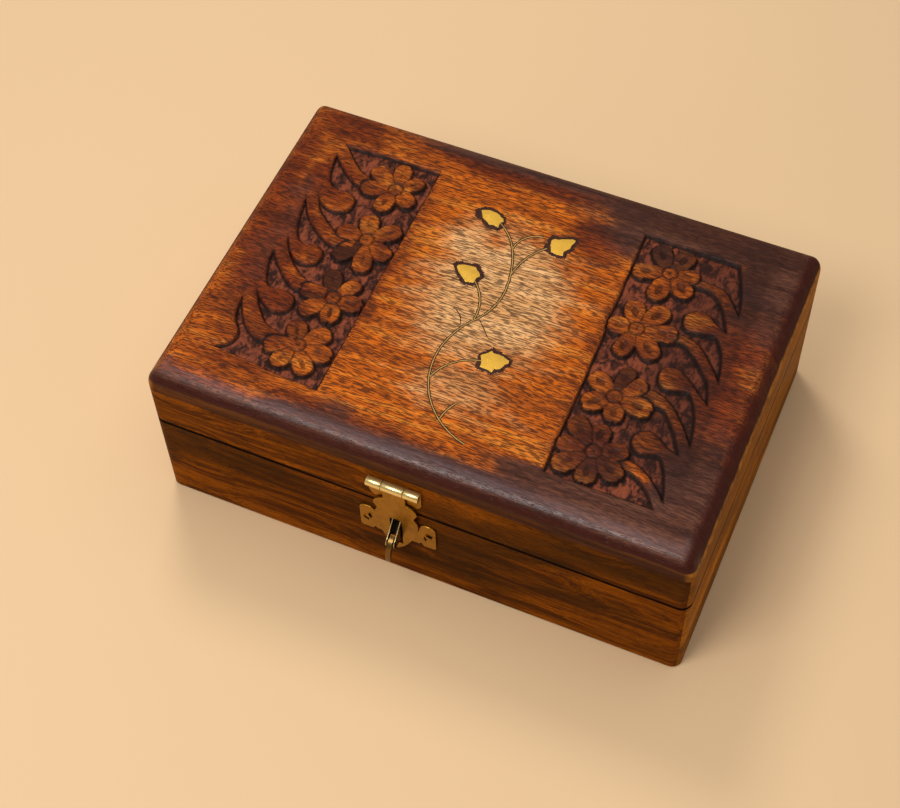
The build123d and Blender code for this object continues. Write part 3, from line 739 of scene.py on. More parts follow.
def arc_route(heading, points, step=0.45):
    """Points along tangent arcs: each leaves in the last one's direction and bends evenly to its point."""
    direction = math.atan2(*heading[::-1])
    route = [np.array(points[:1])]
    for start, end in zip(points, points[1:]):
        chord = np.subtract(end, start)
        turn = (math.atan2(*chord[::-1]) - direction + math.pi) % (2 * math.pi) - math.pi
        radius = math.hypot(*chord) / (2 * math.sin(turn))
        middle = start + radius * np.array([-math.sin(direction), math.cos(direction)])
        count = max(3, int(abs(2 * turn * radius) / step))
        swept = direction - math.pi / 2 + np.linspace(0, 2 * turn, count)[1:]
        route.append(middle + radius * np.stack([np.cos(swept), np.sin(swept)], axis=1))
        direction += 2 * turn
    return np.vstack(route)


def ribbon_shape(heading, points, width, ragged, top, foot, seed, rounding):
    """A flat bar along arcs: its section has six corners, and its two sides wander each in its own way."""
    route = arc_route(heading, points)
    place = np.arange(len(route))

    def wandering(*waves):
        return width / 2 + ragged * sum(np.sin(place * pitch + turns * seed) for pitch, turns in waves) / 3

    left = wandering((1.9, 1), (0.83, 2), (3.1, 1))
    right = wandering((1.6, 3), (0.71, 1), (2.7, 2))
    section = [
        (left, foot), (left, top - rounding), (left - rounding, top),
        (rounding - right, top), (-right, top - rounding), (-right, foot),
    ]
    return closed_rings(carried(route, section))


# ---- Brass plates ----

# Thickness of the sheet brass, and how far the swinging leaf's back lies from the front wall
SHEET, HASP_BACK = 0.8, 1.1
# The leaf's slot; then, as offsets from the latch's middle, the staple's nails and a cheek's two sides
SLOT = np.array([(2.2, 22.0), (2.2, 37.5), (-2.2, 37.5), (-2.2, 22.0)])
NAIL_OFFSET = 11.2
CHEEK_NEAR, CHEEK_FAR = 1.2, 1.75
# Painted shade, near black, on the staple in the hollow behind the cheeks: its middle, half width, foot and
# head
SLOT_SHADE_SPAN = (LATCH_X, 2.6, 20.0, 38.2)
# The barrel's knuckles: where each starts and ends along the pin, its body and the CAD node
KNUCKLES = {
    "left": (-9.7, -4.15, "lid", "hasp_lid_plate"),
    "middle": (-3.95, 3.95, "hasp", "hasp_leaf"),
    "right": (4.15, 9.7, "lid", "hasp_lid_plate"),
}
KNUCKLE_ROUNDING, KNUCKLE_DISH = 0.22, 0.25
# A nail's head as a profile from its crown to its back: places along the axis and radii
NAIL_HEAD = [(-0.32, 0.02), (-0.3, 0.6), (-0.2, 1.1), (-0.02, 1.35), (0.3, 1.4), (0.3, 0.02)]
# A nail's two legs: their low and high levels and rounding, and how far each lies across and up
NAIL_LEG_LEVELS, NAIL_LEG_OFFSET = (0.9, 1.25, 0.1), (0.75, 1.0)
# The rivet that the hook turns on: half its length, its radius and the rounding of its ends
PIVOT_HALF, PIVOT_RADIUS, PIVOT_ROUNDING = 1.9, 0.6, 0.15
# The rings of a plate, of one with a hole and of a cheek: how many, and which of them are worn bright and
# painted with a highlight
PLATE_RINGS = (8, [2, 3, 4, 5])
HOLED_RINGS = (16, [3, 4, 5, 6, 11, 12, 13, 14])
CHEEK_RINGS = (8, [3, 4])


def arc_through(first, middle, last, count=7):
    """Points along the circle through three points: its middle solves two equal-distance equations."""
    first, middle, last = np.array([first, middle, last])
    sides = 2 * np.array([middle - first, last - first])
    squares = np.array([middle @ middle - first @ first, last @ last - first @ first])
    centre = np.linalg.solve(sides, squares)
    angles = [math.atan2(*(point - centre)[::-1]) for point in (first, middle, last)]
    turn = (angles[2] - angles[0]) % (2 * math.pi)
    if (angles[1] - angles[0]) % (2 * math.pi) > turn:
        turn -= 2 * math.pi
    swept = angles[0] + np.linspace(0, turn, count)
    return centre + math.hypot(*(first - centre)) * np.stack([np.cos(swept), np.sin(swept)], axis=1)


def both_sides(*spans):
    """A closed outline from the spans of its right half, drawn from the top middle down to the bottom
    middle. A point that repeats the one before it is left out."""
    half = np.vstack(spans)
    half = half[np.append(True, np.hypot(*np.diff(half, axis=0).T) > 1e-6)]
    left = half[::-1] * [-1, 1]
    return np.vstack([half, left[left[:, 0] < -1e-6]])


def shrunk(outline, inset):
    """A closed outline moved inwards: each corner goes along the mean of its two edges' normals."""
    after = np.roll(outline, -1, axis=0)
    edges = after - outline
    edges = edges / np.hypot(*edges.T)[:, None]
    normal = np.stack([-edges[:, 1], edges[:, 0]], axis=1)
    area = np.sum(outline[:, 0] * after[:, 1] - after[:, 0] * outline[:, 1])
    mean = normal + np.roll(normal, 1, axis=0)
    mean = mean / np.maximum((mean**2).sum(axis=1), 0.5)[:, None] * 2
    return outline + math.copysign(1, area) * inset * mean


def edge_steps(low, high, rounding):
    """Steps over a soft edge from the low face to the high one: how far in each lies, and its level."""
    soft, flat = rounding * 0.3, rounding * 2
    steps = [(flat, 0), (rounding, 0), (soft, soft), (0, rounding)]
    mirrored = [(inset, high - rise) for inset, rise in steps[::-1]]
    return [(inset, low + rise) for inset, rise in steps] + mirrored


def pressed_plate(outline, low, high, rounding, place):
    """A plate with soft edges: rings of the outline step over its edge, and a flat polygon closes each
    side. place turns (across, up, out) into the box's own axes."""
    steps = edge_steps(low, high, rounding)
    count = len(outline)
    rings = [np.column_stack([shrunk(outline, inset), np.full(count, out)]) for inset, out in steps]
    points = np.vstack(rings)
    faces = grid_faces(len(steps), count, wrap=True).tolist()
    faces += [list(range(count))[::-1], list(range(len(points) - count, len(points)))]
    return outward(place(points), faces)


def pressed_ring(outline, hole, low, high, rounding, place):
    """A plate with a hole: both outlines in polar form about the hole's middle, joined over both faces."""
    middle = hole.mean(axis=0)
    corners = np.vstack([outline, hole]) - middle
    angles = np.concatenate([np.arctan2(*corners.T[::-1]), np.linspace(-math.pi, math.pi, 121)[:-1]])
    angles = np.unique(np.round(angles, 4))
    outer, inner = polar_outline(outline, middle, angles), polar_outline(hole, middle, angles)
    steps = edge_steps(low, high, rounding)
    inside = [(inner + inset, out) for inset, out in steps]
    outside = [(outer - inset, out) for inset, out in steps[::-1]]
    points = np.vstack([polar_ring(middle, angles, *step) for step in inside[-1:] + outside + inside[:-1]])
    faces = grid_faces(len(inside + outside) + 1, len(angles), wrap=True) % len(points)
    return outward(place(points), faces.tolist())


def latch_piece(name, shape, body, node, material, rings=1, worn=()):
    """A piece of the latch. A plate is made of rings, and some of them are marked as its worn edge, which
    its material paints bright as wear and a highlight.
    """
    marks = {}
    if worn:
        marks["edge"] = np.zeros((rings, len(shape[0]) // rings))
        marks["edge"][worn] = 1
    piece_from(name, shape, body, node, material, marks=marks)


def on_front(points):
    """From (across, up, out) on the front face to the box's own axes."""
    return np.column_stack([LATCH_X + points[:, 0], FRONT_Y - points[:, 2], points[:, 1]])


def on_side(points):
    """From (out, up, across) in the latch's side view to the box's own axes."""
    return np.column_stack([LATCH_X + points[:, 2], FRONT_Y - points[:, 0], points[:, 1]])


def turned_bar(profile, middle, axis, around):
    """A profile of (place along the axis, radius) turned about an axis through the middle."""
    angles = np.linspace(0, 2 * math.pi, around, endpoint=False)
    along, radius = np.array(profile).T[:, :, None]
    turned = [along * np.ones(around), radius * np.cos(angles), radius * np.sin(angles)]
    rings = np.stack([turned[(index - axis) % 3] for index in range(3)], axis=2) + middle
    return outward(*closed_rings(rings))


def round_ended(start, end, radius, rounding, dish=0.0):
    """The profile of a bar from start to end with rounded ends, which may be dished in the middle."""
    half = [
        (dish, 0.02), (dish, radius * 0.45), (0, radius * 0.55), (0, radius - rounding),
        (rounding * 0.3, radius - rounding * 0.3), (rounding, radius),
    ]
    return [(start + inset, out) for inset, out in half] + [(end - inset, out) for inset, out in half[::-1]]


def hasp_outline():
    """The swinging leaf: a neck, a pair of small lobes, then a broad one that tapers to a rounded foot."""
    lobe = arc_through((4.3, -8.7), (7.0, -10.2), (8.2, -12.9))
    waist = arc_through((8.2, -12.9), (8.0, -14.7), (6.8, -15.9))
    body = smooth_line([(6.8, -15.9), (8.3, -21.0), (6.4, -29.0), (3.2, -35.6), (0, -39.5)], 8)
    return both_sides([(0, 0.2), (4, 0.2), (4.15, -6.2)], lobe, waist, body) + [0, BARREL_Z]


def lid_plate_outline():
    """The plate on the lid, notched at the top for the hasp's knuckle."""
    corner = arc_through((9.7, -6.8), (8.6, -9.0), (5.2, -10.4))
    return both_sides([(0, -2.1), (4.2, -2.1), (4.2, 0), (9.7, 0)], corner, [(0, -10.4)]) + [0, BARREL_Z]


def staple_outline():
    """The plate on the base, with a notched and rounded ear on each side."""
    ear = both_sides(
        [(0, 5.0), (6.2, 5.0), (7.6, 1.6)],
        arc_through((8.8, 5.8), (9.6, 6.7), (10.8, 7.0)),
        arc_through((12.0, 7.0), (13.7, 6.3), (14.4, 4.6)),
        arc_through((14.4, -5.8), (14.05, -6.65), (13.2, -7.0)),
        [(9.8, -7.0), (8.8, -5.4), (7.8, -6.4), (0, -6.4)],
    )
    return ear + [0, STAPLE_Z]


def cheek_outline():
    """One cheek of the bracket in side view: a straight root on the plate and a round nose."""
    nose = arc_through((0.75, 2.28), (2.4, 0), (-0.3, -2.38), 13) + [PIVOT_OUT, PIVOT_Z]
    return np.vstack([[(0.75, 25.5), (0.75, 36.6)], nose])


def nail_leg(middle, turn):
    """The flattened leg of a split nail: a narrow pointed oval about its middle."""
    angles = np.linspace(0, 2 * math.pi, 16, endpoint=False)
    oval = np.column_stack([1.25 * np.cos(angles), 0.3 * np.sin(angles) * (1.1 + 0.3 * np.cos(angles))])
    spin = np.array([[math.cos(turn), -math.sin(turn)], [math.sin(turn), math.cos(turn)]])
    return oval @ spin + middle


def hook_shape():
    """The hook: a flat bar with chamfered edges carried down a bent line, thinning to a blunt point."""
    line = np.array([
        (4.0, 30.4), (5.3, 30.0), (6.7, 29.5), (7.8, 28.6), (8.6, 27.3), (9.1, 25.6), (9.4, 23.8),
        (9.6, 22.2), (9.62, 21.4),
    ])
    half = np.array([1.0, 1.35, 1.3, 1.15, 1.0, 0.9, 0.8, 0.6, 0.35])
    corners = [(0.9, 0.78), (0.78, 0.95)]
    corners += [(-across, deep) for across, deep in corners[::-1]]
    corners += [(-across, -deep) for across, deep in corners]
    points, faces = closed_rings(carried(line, [(half * deep, across) for across, deep in corners]))
    return outward(on_side(points), faces)


# ---- Lining and screws ----

# The lining's rolled edge, the height of its ripples and the spacing of its grid
LINING_EDGE, LINING_SWELL, LINING_SPACING = 0.9, 0.25, 2.2
# Where the hinges' screws stand, the radius of a head, half the width of its slot, and how far the head
# lies below its leaf's face
SCREWS_X = (-67.5, -52.5, 52.5, 67.5)
SCREW_RADIUS, SCREW_SLOT, SCREW_SINK = 1.5, 0.26, 0.06
# Two rings below a screw's head: the share of its radius, and how far below
SCREW_CONE = [(0.8, 0.36), (0.53, 0.9)]


def lining_panel(node, axis, side, seed):
    """A velvet-covered card in the box of a CAD node: a grid over two axes whose face lies along the third.
    Near its border the face falls away as a quarter circle, and shallow ripples cross the rest."""
    low, high, _ = box_of(node)
    across = [index for index in range(3) if index != axis]
    edge = LINING_EDGE * (1 - np.cos(np.linspace(0, math.pi / 2, 6)))
    lines = []
    for index in across:
        width = high[index] - low[index]
        inner = np.linspace(LINING_EDGE, width - LINING_EDGE, max(3, int(width / LINING_SPACING)))
        lines.append(low[index] + np.concatenate([edge[:-1], inner, width - edge[-2::-1]]))
    spots = np.meshgrid(*lines, indexing="ij")
    insets = [np.minimum(spot - line[0], line[-1] - spot) for spot, line in zip(spots, lines)]
    inset = np.minimum(*insets)
    rolled = LINING_EDGE - np.clip(inset, 0, LINING_EDGE)
    fall = LINING_EDGE - np.sqrt(np.maximum(LINING_EDGE**2 - rolled**2, 0))
    swell = LINING_SWELL * (0.5 + 0.5 * ripple(*spots, 21.0, seed)) * ease(inset / (2 * LINING_EDGE))
    face, foot = (high[axis], low[axis]) if side > 0 else (low[axis], high[axis])
    points = np.empty((*inset.shape, 3))
    points[..., across[0]], points[..., across[1]] = spots
    points[..., axis] = face - side * (fall + swell)
    return outward(*closed_sheet(points, axis, foot))


def slotted_head(middle, side, turn):
    """A countersunk screw's head: a shallow dome over a disc in rings, less a straight slot with steep
    sides, on a cone that narrows below."""
    share = np.array([0.04, 0.12, 0.2, 0.3, 0.42, 0.54, 0.66, 0.78, 0.88, 0.95, 1.0])[:, None]
    radii = SCREW_RADIUS * share
    angles = np.linspace(0, 2 * math.pi, 72, endpoint=False)
    across = np.abs(radii * np.sin(angles - turn))
    slot = 0.5 * ease((SCREW_SLOT + 0.08 - across) / 0.16) * (share < 0.96)
    height = 0.05 * (1 - share**2) - slot
    rings = np.stack([radii * np.cos(angles), radii * np.sin(angles), height], axis=2)
    cone = [rings[-1] * [narrow, narrow, 1] - [0, 0, drop] for narrow, drop in SCREW_CONE]
    points, faces = closed_rings(np.concatenate([rings, cone]))
    return outward(points * [1, 1, side] + middle, faces)


# ---- Materials ----

# Colours that belong to one finish each; some of them are painted shade or a painted highlight, as noted
GOLDEN_DARK, GOLDEN_LIGHT = linear(162, 76, 10), linear(224, 130, 38)
TAN_DARK, RUSSET_DARK, UMBER_DARK = linear(214, 150, 88), linear(92, 32, 4), linear(57, 34, 27)
NOSE_DARK, NOSE_LIGHT = linear(54, 20, 0), linear(100, 50, 0)
# The last of these is painted shade for the carving's walls, creases and edges; the petal stain also carries
# painted shade in the gouges
GROUND_DARK, PETAL_STAIN_AND_SHADE, SHADE_BLACK = linear(46, 21, 14), linear(40, 16, 8), linear(20, 7, 4)
# The second and third of these: a dark rim, partly stain and partly painted shade, and a pale painted
# highlight
DUSK, RIM_STAIN_AND_SHADE, HIGHLIGHT_LILAC = linear(40, 20, 15), linear(56, 6, 0), linear(170, 142, 148)
WALL_CLOUD, SEAM = linear(52, 32, 7), linear(6, 3, 2)
# The cheek's edge colour is a painted highlight, and the nail colour is painted shade for the nails' slits
CHEEK, CHEEK_EDGE_HIGHLIGHT, NAIL_SLIT_SHADE = linear(74, 52, 22), linear(220, 190, 130), linear(40, 24, 8)
SLOT_SHADE, FILLER_DARK = linear(10, 7, 4), linear(42, 17, 8)
# The mix node's sockets for colours, which share their names with those for other kinds of value
MIX_FIRST, MIX_SECOND, MIX_RESULT = 6, 7, 2


def shaded(colour, share):
    """A colour made darker or lighter."""
    return (*(min(1.0, share * light) for light in colour[:3]), 1.0)


class Finish:
    """A node material in the making. Most calls add a node and return the socket that it gives."""

    def __init__(self, name):
        self.material = bpy.data.materials.new(name)
        self.material.use_nodes = True
        self.nodes = self.material.node_tree.nodes
        self.shader = self.nodes["Principled BSDF"]
        self.place = self.add("ShaderNodeTexCoord", {}).outputs["Object"]

    def put(self, socket, value):
        """Links a socket, or sets it where the value is plain."""
        if isinstance(value, bpy.types.NodeSocket):
            self.material.node_tree.links.new(value, socket)
        else:
            socket.default_value = value

    def add(self, kind, inputs, **choices):
        """A new node, with its inputs by name or number, and its own choices."""
        node = self.nodes.new(kind)
        for name, value in choices.items():
            setattr(node, name, value)
        for socket, value in inputs.items():
            self.put(node.inputs[socket], value)
        return node

    def noise(self, scale, detail=4.0, rough=0.55, distort=0.0, place=None):
        """Noise whose scale is given per metre, for all axes or for each."""
        scale = scale if isinstance(scale, tuple) else (scale, scale, scale)
        mapped = self.add("ShaderNodeMapping", {"Vector": place or self.place, "Scale": scale}).outputs[0]
        values = {"Scale": 1.0, "Detail": detail, "Roughness": rough, "Distortion": distort}
        return self.add("ShaderNodeTexNoise", {"Vector": mapped, **values}).outputs["Fac"]

    def sums(self, operation, first, second=0.0, clamp=False):
        """One sum on one or two numbers."""
        node = self.add("ShaderNodeMath", {0: first, 1: second}, operation=operation, use_clamp=clamp)
        return node.outputs[0]

    def plus(self, first, second):
        return self.sums("ADD", first, second)

    def minus(self, first, second):
        return self.sums("SUBTRACT", first, second)

    def times(self, first, second):
        return self.sums("MULTIPLY", first, second)

    def span(self, value, low, high, to_low=0.0, to_high=1.0, smooth=True):
        """A number taken from one range to another and held at its ends."""
        inputs = {"Value": value, "From Min": low, "From Max": high, "To Min": to_low, "To Max": to_high}
        kind = "SMOOTHSTEP" if smooth else "LINEAR"
        return self.add("ShaderNodeMapRange", inputs, interpolation_type=kind).outputs["Result"]

    def ramp(self, factor, *stops):
        """Colours at three or more places from 0 to 1."""
        node = self.add("ShaderNodeValToRGB", {"Fac": factor})
        band = node.color_ramp.elements
        while len(band) < len(stops):
            band.new(0.5)
        for element, (position, colour) in zip(band, stops):
            element.position, element.color = position, colour
        return node.outputs["Color"]

    def mixed(self, share, first, second):
        """Two colours mixed, the second by its share."""
        inputs = {"Factor": share, MIX_FIRST: first, MIX_SECOND: second}
        return self.add("ShaderNodeMix", inputs, data_type="RGBA").outputs[MIX_RESULT]

    def layered(self, colour, *layers):
        """A colour under several layers: each has its share, then its colour."""
        for share, layer in layers:
            colour = self.mixed(share, colour, layer)
        return colour

    def shifted(self, *amounts):
        """The place, moved by an amount along each axis."""
        joined = self.add("ShaderNodeCombineXYZ", dict(enumerate(amounts))).outputs[0]
        return self.add("ShaderNodeVectorMath", {0: self.place, 1: joined}, operation="ADD").outputs[0]

    def axis(self, index):
        """The place along one axis."""
        return self.add("ShaderNodeSeparateXYZ", {0: self.place}).outputs[index]

    def away(self, index, middle):
        """The distance along one axis from a middle."""
        return self.sums("ABSOLUTE", self.minus(self.axis(index), middle))

    def skin(self):
        """1 on the box's outer skin and 0 inside, by the distance from the middles of the round corners."""
        corner, squares = CORNER * MM, []
        for index, half in ((0, BOARD_HALF_LENGTH), (1, BOARD_HALF_DEPTH)):
            beyond = self.minus(self.sums("ABSOLUTE", self.axis(index)), half * MM - corner)
            squares.append(self.sums("POWER", self.sums("MAXIMUM", beyond, 0.0), 2.0))
        return self.span(self.sums("SQRT", self.plus(*squares)), corner - 0.5 * MM, corner - 0.2 * MM)

    def mark(self, name):
        """A number that the piece carries at its points."""
        return self.add("ShaderNodeAttribute", {}, attribute_name=name).outputs["Fac"]

    def finish(self, colour, roughness, relief=None, distance=0.0, strength=1.0, **constants):
        """The material, with its shader's constants, and a relief with its height in metres if given."""
        constants = {name.replace("_", " "): value for name, value in constants.items()}
        if relief is not None:
            bump = {"Height": relief, "Distance": distance, "Strength": strength}
            constants["Normal"] = self.add("ShaderNodeBump", bump).outputs["Normal"]
        for name, value in {"Base Color": colour, "Roughness": roughness, **constants}.items():
            self.put(self.shader.inputs[name], value)
        return self.material


def drawn(along, long, wide):
    """A value for each axis: one along the grain, and the same one for the two axes across it."""
    return tuple(long if index == along else wide for index in range(3))


def wood_grain(made, along, wave=0.006):
    """Streaks, bands, fine lines and pores of wood whose grain runs along one axis: noise drawn out along
    the grain, read at places that wander sideways so that the grain waves."""
    wander = made.times(made.minus(made.noise(drawn(along, 14, 34), 2.0), 0.5), wave)
    place = made.shifted(*drawn(along, 0.0, wander))
    streaks = made.noise(drawn(along, 16, 420), 5.0, 0.62, 0.25, place)
    bands = made.noise(drawn(along, 8, 75), 3.0, 0.5, 0.8, place)
    fine = made.noise(drawn(along, 90, 1900), 3.0, 0.6, place=place)
    dashes = made.noise(drawn(along, 300, 2600), 0.0, 0.4, place=place)
    return streaks, bands, fine, dashes


def wall_wood(name, along, light, dark, pore, murk, seams=(SEAM_Z,), lean=0.0):
    """Stained and varnished wood for a wall: dark and light bands under a murky cloud, darker streaks and
    pores, and black in the joints at the given heights. A lean makes the cloud thin out along the wall."""
    made = Finish(name)
    streaks, bands, fine, dashes = wood_grain(made, along, 0.026)
    figure = made.plus(made.times(bands, 0.4), made.times(streaks, 0.6))
    colour = made.ramp(made.span(figure, 0.38, 0.64), (0.0, dark), (0.6, light), (1.0, shaded(light, 1.25)))
    lines = made.noise(drawn(along, 3, 210), 5.0, 0.6, 1.2)
    cloud = made.minus(made.noise(drawn(along, 9, 34), 3.0, 0.5), made.times(made.axis(0), lean))
    colour = made.layered(
        colour,
        (made.times(made.span(cloud, 0.47, 0.62), murk), WALL_CLOUD),
        (made.times(made.span(lines, 0.5, 0.62), 0.28), dark),
        (made.times(made.span(fine, 0.42, 0.66), 0.35), pore),
        (made.times(made.span(dashes, 0.58, 0.66), 0.4), pore),
    )
    for seam in seams:
        joint = made.span(made.away(2, seam * MM), 1.1 * MM, 0.6 * MM)
        colour = made.mixed(made.times(joint, made.skin()), colour, SEAM)
    relief = made.minus(made.times(fine, 0.4), made.span(dashes, 0.52, 0.68))
    gloss = made.span(streaks, 0.3, 0.7, 0.42, 0.62)
    return made.finish(colour, gloss, relief, 0.1 * MM, 0.5, Specular_IOR_Level=0.02)


def carved_wood(stains):
    """The lid's board: golden wood, with tan, russet and umber stains where the piece's own marks put them,
    their edges broken up by noise; scorched on the sunk ground, with painted shade, near black, along the
    carving's walls, creases and edges. A painted highlight runs along the front bullnose, and the dark rim
    is partly stain and partly painted shade."""
    made = Finish("carved_wood")
    pore = stains["pore"]
    streaks, bands, fine, dashes = wood_grain(made, 0)
    patch = made.minus(made.noise((70, 160, 70), 5.0, 0.62, 0.5), 0.5)
    mottle = made.noise(420.0, 4.0, 0.6)
    gouges = made.noise((420, 260, 340), 5.0, 0.7, 0.4)
    figure = made.plus(made.times(bands, 0.45), made.times(streaks, 0.55))

    def stained(name, ragged=0.9, low=0.12, high=0.68):
        return made.span(made.plus(made.mark(name), made.times(patch, ragged)), low, high)

    def figured(dark, light, low=0.38, high=0.62):
        return made.mixed(made.span(figure, low, high), dark, light)

    stops = [(0.0, GOLDEN_DARK), (0.5, stains["golden"]), (1.0, GOLDEN_LIGHT)]
    colour = made.layered(
        made.ramp(made.span(figure, 0.36, 0.64), *stops),
        (stained("tan"), figured(TAN_DARK, stains["tan"])),
        (made.times(stained("russet"), 0.95), figured(RUSSET_DARK, stains["russet"], 0.4)),
    )
    umber = made.layered(
        figured(UMBER_DARK, stains["umber"]),
        (made.times(made.span(dashes, 0.52, 0.6), 0.42), pore),
        (made.times(stained("dusk", 0.5, 0.1, 0.8), 0.62), DUSK),
    )
    nose = figured(NOSE_DARK, NOSE_LIGHT, high=0.64)
    ends = figured(stains["end_dark"], stains["end_light"], high=0.64)
    sunk = made.mark("sunk")
    cut = made.plus(sunk, made.times(made.mark("worked"), 0.12))
    pores = made.times(made.span(dashes, 0.5, 0.57), made.sums("SUBTRACT", 1.0, cut, clamp=True))
    turned = made.plus(made.mark("side"), made.times(patch, 0.25))
    colour = made.layered(
        colour,
        (pores, made.mixed(0.72, colour, pore)),
        (made.times(stained("umber", 0.62, 0.06, 0.8), 0.93), umber),
        (made.times(made.span(mottle, 0.55, 0.72), 0.35), pore),
        (made.times(made.span(fine, 0.44, 0.66), 0.25), pore),
        # Painted highlight: a pale lilac line along the front bullnose
        (made.times(made.mark("bloom"), made.span(fine, 0.3, 0.6, 0.05, 0.19)), HIGHLIGHT_LILAC),
        # Dark rim: stain, and painted shade on the bullnose's downturned lower half
        (made.mark("rim"), RIM_STAIN_AND_SHADE),
        (made.span(turned, 0.38, 0.48), made.mixed(made.mark("end"), nose, ends)),
        (sunk, made.mixed(made.span(gouges, 0.4, 0.62), GROUND_DARK, stains["ground"])),
        # Petal stain, with painted shade in the gouges and in the right panel's outer pockets
        (made.span(made.mark("stain"), 0.0, 1.0, 0.0, 0.92, False), PETAL_STAIN_AND_SHADE),
        # Painted shade, near black, along the carving's walls, creases and edges
        (made.times(made.mark("burnt"), 0.94), SHADE_BLACK),
    )
    chipped = made.plus(made.times(sunk, 5.0), made.times(made.mark("worked"), 3.0))
    relief = made.minus(made.plus(made.times(fine, 0.4), made.times(gouges, chipped)), pores)
    dull = made.times(made.mark("side"), 0.35)
    gloss = made.sums("ADD", made.span(mottle, 0.3, 0.7, 0.52, 0.66), dull, clamp=True)
    gloss = made.minus(gloss, made.times(made.mark("nose"), 0.32))
    return made.finish(colour, gloss, relief, 0.14 * MM, 0.75, Specular_IOR_Level=0.27)


def metal(name, colour, rough, dirt=0.35, grain=1.0, metallic=1.0, edge=None, hollow=None, dents=0.35):
    """Brass: metallic, with faint mottling, a tarnished tint in patches and fine polishing marks. Worn edges
    may have their own colour, which is also a painted highlight. A hollow gets painted shade, near black:
    its middle, half width, foot and head, in millimetres."""
    made = Finish(name)
    cloud, speck = made.noise(260.0, 4.0), made.noise(1500.0, 3.0)
    tint = made.mixed(made.times(made.span(cloud, 0.42, 0.75), dirt), colour, shaded(colour, 0.5))
    if edge:
        tint = made.mixed(made.times(made.mark("edge"), 0.75), tint, edge)
    if hollow:
        middle, half, foot, head = (size * MM for size in hollow)
        up, soft = made.axis(2), 0.5 * MM
        inside = made.times(made.span(up, foot, foot + soft), made.span(up, head, head - soft))
        inside = made.times(inside, made.span(made.away(0, middle), half, half - soft))
        # Painted shade in the hollow
        tint = made.mixed(inside, tint, SLOT_SHADE)
    relief = made.plus(cloud, made.times(speck, 0.3 * grain))
    return made.finish(tint, made.span(speck, 0.3, 0.7, *rough), relief, 0.08 * MM, dents, Metallic=metallic)


def filler_finish(stains):
    """Dark filler: uneven brown wax with fine pits."""
    made = Finish("inlay_filler")
    cloud = made.noise(900.0, 4.0)
    tint = made.mixed(made.span(cloud, 0.35, 0.65), FILLER_DARK, stains["filler"])
    return made.finish(tint, made.span(cloud, 0.3, 0.7, 0.45, 0.7), cloud, 0.1 * MM, 0.5)


def velvet_finish(pile):
    """Short velvet pile: a mottled nap with a soft sheen."""
    made = Finish("velvet_pile")
    nap, brushed = made.noise(2200.0, 3.0), made.noise((60, 140, 90), 3.0)
    share = made.span(made.plus(made.times(nap, 0.5), made.times(brushed, 0.5)), 0.35, 0.65)
    sheen = {"Sheen Weight": 0.2, "Sheen Roughness": 0.5, "Sheen Tint": pile, "Specular IOR Level": 0.05}
    return made.finish(made.mixed(share, shaded(pile, 0.45), pile), 0.95, nap, 0.2 * MM, 0.8, **sheen)


def floor_finish(colour):
    """A plain pale floor, very slightly mottled. Far from the box, where no lamp reaches, rays from the
    camera and reflections see it as pale as it is near the box; it gives no light to anything else."""
    made = Finish("pale_floor")
    tint = made.mixed(made.noise(6.0, 2.0), shaded(colour, 0.985), colour)
    material = made.finish(tint, 0.85, Specular_IOR_Level=0.1)
    rays = made.add("ShaderNodeLightPath", {}).outputs
    seen = made.sums("MAXIMUM", rays["Is Camera Ray"], rays["Is Glossy Ray"])
    seen = made.sums("MAXIMUM", seen, rays["Is Transmission Ray"])
    length = made.add("ShaderNodeVectorMath", {0: made.place}, operation="LENGTH").outputs["Value"]
    far = made.times(seen, made.span(length, 0.42, 1.0))
    pale = made.add("ShaderNodeEmission", {"Color": colour}).outputs[0]
    both = made.add("ShaderNodeMixShader", {0: far, 1: made.shader.outputs[0], 2: pale}).outputs[0]
    made.put(made.nodes["Material Output"].inputs["Surface"], both)
    return material


def dress(target, material):
    """Puts one material on a piece, or on a CAD node given by its name."""
    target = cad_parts[target] if isinstance(target, str) else target
    if not target.material_slots:
        target.data.materials.append(material)
    for held in target.material_slots:
        held.material = material


def settings(group):
    """A property group's values: lengths in millimetres, and colours as tuples."""
    values = {name: getattr(group, name) for name in group.__annotations__}
    return {name: value / MM if isinstance(value, float) else tuple(value) for name, value in values.items()}


# ---- Operators ----

# Each lamp: its place, the height that it aims at over the box's middle and its width, in metres, and
# whether shiny surfaces mirror it
LAMPS = {
    "key": ((-0.16, -0.46, 0.8), 0.05, 0.38, True),
    "fill": ((-0.62, -0.66, 0.3), 0.04, 0.4, False),
    "back": ((-0.42, 0.5, 0.95), 0.0, 0.34, False),
    "top": ((0.05, 0.05, 1.2), 0.0, 1.3, False),
}
# The camera's place in metres, and the directions that it looks in and is turned to
CAMERA_PLACE = (0.1494, -0.3500, 0.5769)
AZIMUTH, ELEVATION, ROLL = math.radians(25.4), math.radians(55.94), math.radians(-2.34)


